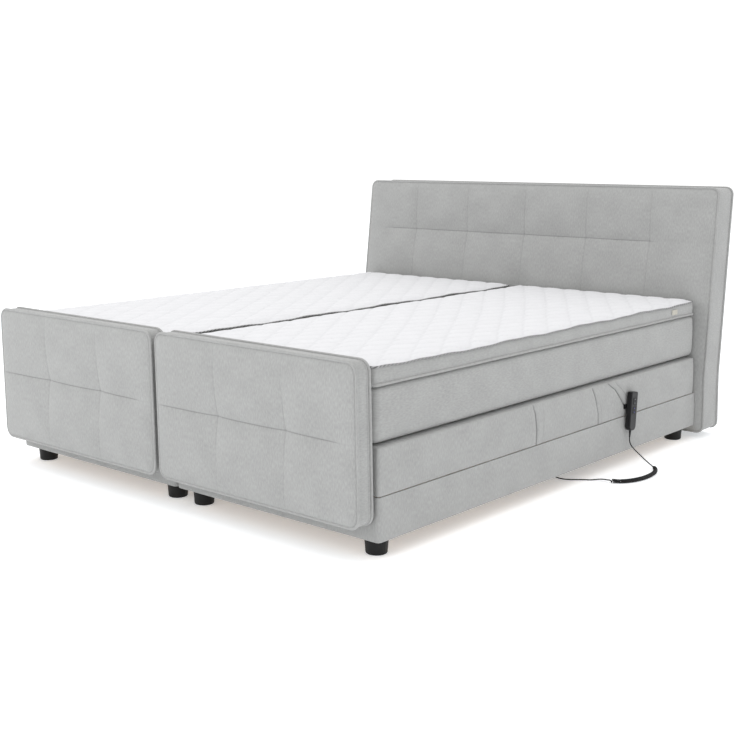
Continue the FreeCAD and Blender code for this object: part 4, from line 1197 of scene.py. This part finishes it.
def make_footboard(side):
    bottom, top = FOOT_LOW.z, FOOT_HIGH.z
    rear_low = FOOT_HIGH.y
    thick = (FOOT_HIGH.y - FOOT_LOW.y) - FOOT_LEAN

    def front(z):
        return rear_low - thick - FOOT_LEAN * (z - bottom) / (top - bottom)

    seam_z = bottom + FOOT_SEAM_SHARE * (top - bottom)
    tufts = [(x, seam_z) for x in FOOT_TUFTS]
    board = Board(
        SIDES[side], FOOT_TOP_WIDTH / 2, bottom, top, FOOT_CORNER, front, thick, 0.010, tufts)
    cushion = make_board(f"{side}_footboard_cushion", board, tufts, (-0.42, 0.37, seam_z),
                         reach=0.11, fold=0.16, crown=0.012, edge_soft=0.030)
    finish_board(f"{side}_footboard", cushion, board,
                 "footboard_cushions" if side == "right" else None)


def make_headboard():
    low, high = HEAD_LOW.z, HEAD_HIGH.z
    thick = (HEAD_HIGH.y - HEAD_LOW.y) - HEAD_LEAN * (high - HEAD_KINK)

    def front(z):
        return HEAD_LOW.y + HEAD_LEAN * np.maximum(0, z - HEAD_KINK)

    tufts = [(x, HEAD_SEAM_Z) for x in HEAD_TUFTS]
    board = Board(0.0, HEAD_HIGH.x, low, high, HEAD_CORNER, front, thick, 0.012, tufts)
    cushion = make_board("headboard_padding", board, tufts, (-0.80, 0.65, HEAD_SEAM_Z),
                         reach=0.12, fold=0.42, crown=0.010, edge_soft=0.025)
    finish_board("headboard", cushion, board, "headboard_cushion")


# ---- Handset lead ----
def spline_object(name, points, radius):
    data = bpy.data.curves.new(name, "CURVE")
    data.dimensions = "3D"
    spline = data.splines.new("NURBS")
    spline.points.add(len(points) - 1)
    for place, point in zip(spline.points, points):
        place.co = (*point, 1.0)
    spline.order_u = 3
    spline.use_endpoint_u = True
    data.bevel_depth = radius
    data.bevel_resolution = 3
    data.resolution_u = 6
    data.use_fill_caps = True
    return add_object(name, data)


def make_lead():
    """The lead: a plain drop, a curled stretch on the floor and a plain run under the base."""
    route = [np.array((x / 1000, y / 1000 - BED_MIDDLE, z / 1000)) for x, y, z in CORD_POINTS_MM]
    line = spline_object("lead_line", route, 0.0)
    mesh = bpy.data.meshes.new_from_object(line)
    samples = np.array([vertex.co for vertex in mesh.vertices])
    bpy.data.objects.remove(line)
    bpy.data.meshes.remove(mesh)
    cuts = [(route[index] + route[index + 1]) / 2 for index in (CURL_FIRST, CURL_LAST)]
    ends = [int(np.argmin(np.linalg.norm(samples - cut, axis=1))) for cut in cuts]
    curl = samples[ends[0]:ends[1] + 1]
    along = run_length(curl)
    fine = np.linspace(0, along[-1], 4001)
    grow = np.clip(np.minimum(fine, along[-1] - fine) / CURL_LEAD_IN, 0, 1)
    turned = np.cumsum(grow ** 4) * (fine[1] / HELIX_PITCH)
    count = turned * HELIX_STEPS + fine / (2 * HELIX_PITCH)
    steps = np.arange(0, int(count[-1]) + 1)
    places = np.interp(steps, count, fine)
    middle = np.column_stack([np.interp(places, along, curl[:, axis]) for axis in range(3)])
    tangent = np.gradient(middle, axis=0)
    tangent /= np.linalg.norm(tangent, axis=1)[:, None]
    across = np.cross(tangent, (0.0, 0.0, 1.0))
    across /= np.linalg.norm(across, axis=1)[:, None]
    up = np.cross(across, tangent)
    grow = np.interp(places, fine, grow)
    radius = (HELIX_R * grow * grow * (3 - 2 * grow))[:, None]
    angle = 2 * math.pi * np.interp(places, fine, turned)[:, None]
    helix = middle + radius * (across * np.cos(angle) + up * np.sin(angle))
    points = route[:CURL_FIRST + 1] + list(helix) + route[CURL_LAST + 1:]
    lead = spline_object("handset_lead", points, CORD_R)
    lead.data.materials.append(materials["lead_rubber"])
    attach(lead, "root")
    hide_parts("handset_cord_upper", "handset_cord_curl", "handset_cord_lower")


# ---- Small pieces ----
def make_label():
    """A small blank tag sewn flat on the right topper's border near the head."""
    x = TOPPER_HIGH.x + 0.0042
    y0, y1 = FOOT_END + 1.806, FOOT_END + 1.850
    z0, z1 = TOPPER_LOW.z + 0.018, TOPPER_LOW.z + 0.038
    ys, zs = np.linspace(y0, y1, 15), np.linspace(z0, z1, 9)
    y, z = np.meshgrid(ys, zs, indexing="ij")
    edge = np.minimum(np.minimum(y - y0, y1 - y), np.minimum(z - z0, z1 - z))
    lift = 0.0012 * np.exp(-edge / 0.003) + 0.0006 * np.sin((y - y0) / (y1 - y0) * 9)
    skin = np.stack([x + lift, y, z], -1)
    back = np.stack([x + lift - 0.0010, y, z], -1)
    shell = Shell()
    uv = np.stack([y, z], -1)
    shell.add(skin, uv)
    shell.add(back, uv)
    for first in (0, -1):
        shell.add(np.stack([skin[first], back[first]]), np.stack([uv[first], uv[first]]))
        shell.add(np.stack([skin[:, first], back[:, first]]), np.stack([uv[:, first], uv[:, first]]))
    label = shell.make("topper_label", [materials["label_tape"]])
    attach(label, "right_back")


def make_rocker_marks():
    """An up arrow and a down arrow printed on each rocker of the handset."""
    tilt = math.radians(HANDSET_TILT)
    up = np.array((0.0, math.sin(tilt), math.cos(tilt)))
    along = np.array((0.0, math.cos(tilt), -math.sin(tilt)))
    for rocker, look in (("handset_back_rocker", "mark_grey"), ("handset_leg_rocker", "mark_blue")):
        low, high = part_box(rocker)
        middle = np.array((high.x, (low.y + high.y) / 2, (low.z + high.z) / 2))
        for way in (1, -1):
            outline = [(-MARK_SIZE, -way * MARK_SIZE / 2), (MARK_SIZE, -way * MARK_SIZE / 2),
                       (0.0, way * MARK_SIZE)]
            outline = outline if way > 0 else outline[::-1]
            ring = [middle + up * (way * MARK_PLACE + v) + along * u for u, v in outline]
            points = [point + (x, 0, 0) for x in (-MARK_PROUD, MARK_PROUD) for point in ring]
            faces = [(2, 1, 0), (3, 4, 5), (0, 1, 4, 3), (1, 2, 5, 4), (2, 0, 3, 5)]
            mesh = bpy.data.meshes.new("mark")
            mesh.from_pydata([tuple(point) for point in points], [], faces)
            mesh.materials.append(materials[look])
            name = f"{rocker}_arrow_{'up' if way > 0 else 'down'}"
            mark = add_object(name, mesh)
            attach(mark, rocker.replace("rocker", "button"))


# ---- CAD nodes that stay ----
def paint_nodes():
    """Gives each hard piece of the frame its material."""
    looks = {
        "planed_pine": ("base_frames", "seat_frames", "_frame", "footboard_cores", "headboard_core"),
        "black_leg": ("legs",),
        "black_steel": ("pivot_brackets", "_lift_shaft", "foot_links"),
        "bush_bronze": ("pivot_bushes",),
        "drive_plastic": ("drive_housings", "drive_motors", "control_boxes", "_drive_block"),
        "zinc_steel": ("board_fixings",),
        "handset_black": ("handset_front_shell", "handset_back_shell", "handset_hook"),
        "handset_rubber": ("handset_back_rocker", "handset_leg_rocker", "handset_strain_relief")}
    for name, node in frame["nodes"].items():
        for look, endings in looks.items():
            if any(name == ending or name.endswith(ending) for ending in endings):
                node.data.materials.clear()
                node.data.materials.append(materials[look])


def smooth_nodes():
    for node in frame["nodes"].values():
        node.data.shade_smooth()
        node.data.set_sharp_from_angle(angle=math.radians(35))


# ---- Floor and light ----
def make_floor():
    mesh = bpy.data.meshes.new("floor")
    reach = FLOOR_REACH
    mesh.from_pydata([(-reach, -reach, 0), (reach, -reach, 0), (reach, reach, 0), (-reach, reach, 0)],
                     [], [(0, 1, 2, 3)])
    floor = add_object("floor", mesh)
    paint = Paint("studio_floor", (0.90, 0.91, 0.92), 0.9)
    paint.set("Specular IOR Level", 0.0)
    paint.set("Emission Color", (0.97, 0.985, 1.0, 1.0))
    paint.set("Emission Strength", FLOOR_GLOW)
    mesh.materials.append(paint.material)


def make_light(name, place, aim, size, power):
    data = bpy.data.lights.new(name, "AREA")
    data.shape = "RECTANGLE"
    data.size, data.size_y = size
    data.energy = power
    light = add_object(name, data)
    light.location = place
    light.rotation_euler = (Vector(aim) - Vector(place)).to_track_quat("-Z", "Y").to_euler()


def make_lights():
    world = bpy.data.worlds.new("studio")
    world.use_nodes = True
    sky = world.node_tree.nodes["Background"]
    sky.inputs["Color"].default_value = (1.0, 1.0, 1.0, 1.0)
    sky.inputs["Strength"].default_value = SKY_GLOW
    bpy.context.scene.world = world
    make_light("ceiling", (0.0, -0.3, 4.2), (0.0, 0.0, 0.0), (5.0, 5.0), CEILING_POWER)
    make_light("front", (-1.6, -4.6, 2.4), (0.0, 0.0, 0.4), (3.0, 2.4), FRONT_POWER)
    bpy.context.scene.view_settings.view_transform = "Standard"


# ---- Making everything ----
PLASTICS = {
    "black_leg": ((0.005, 0.005, 0.005), 0.5),
    "drive_plastic": ((0.028, 0.028, 0.03), 0.5),
    "handset_black": ((0.010, 0.010, 0.011), 0.40, 1600.0),
    "mark_grey": ((0.16, 0.16, 0.17), 0.5, 1600.0),
    "mark_blue": ((0.07, 0.07, 0.26), 0.5, 1600.0),
    "handset_rubber": ((0.020, 0.020, 0.021), 0.6, 1200.0),
    "lead_rubber": ((0.012, 0.012, 0.012), 0.5, 1200.0)}
METALS = {
    "black_steel": ((0.03, 0.03, 0.032), 0.45, 0.6),
    "bush_bronze": ((0.55, 0.33, 0.14), 0.35, 1.0),
    "zinc_steel": ((0.62, 0.62, 0.60), 0.35, 1.0)}
materials = {
    "chenille": fabric_material(), "quilted_knit": quilt_material(),
    "twisted_cord": twist_material(), "label_tape": label_material(),
    "planed_pine": timber_material(),
    **{name: plastic_material(name, *look) for name, look in PLASTICS.items()},
    **{name: metal_material(name, *look) for name, look in METALS.items()}}

make_camera()
make_lead()
for side in SIDES:
    make_base_cover(side)
    for part in LENGTHS:
        make_sleeve(side, part)
        make_mattress(side, part)
        make_topper(side, part)
    make_footboard(side)
make_headboard()
make_label()
make_rocker_marks()
paint_nodes()
smooth_nodes()
make_floor()
make_lights()
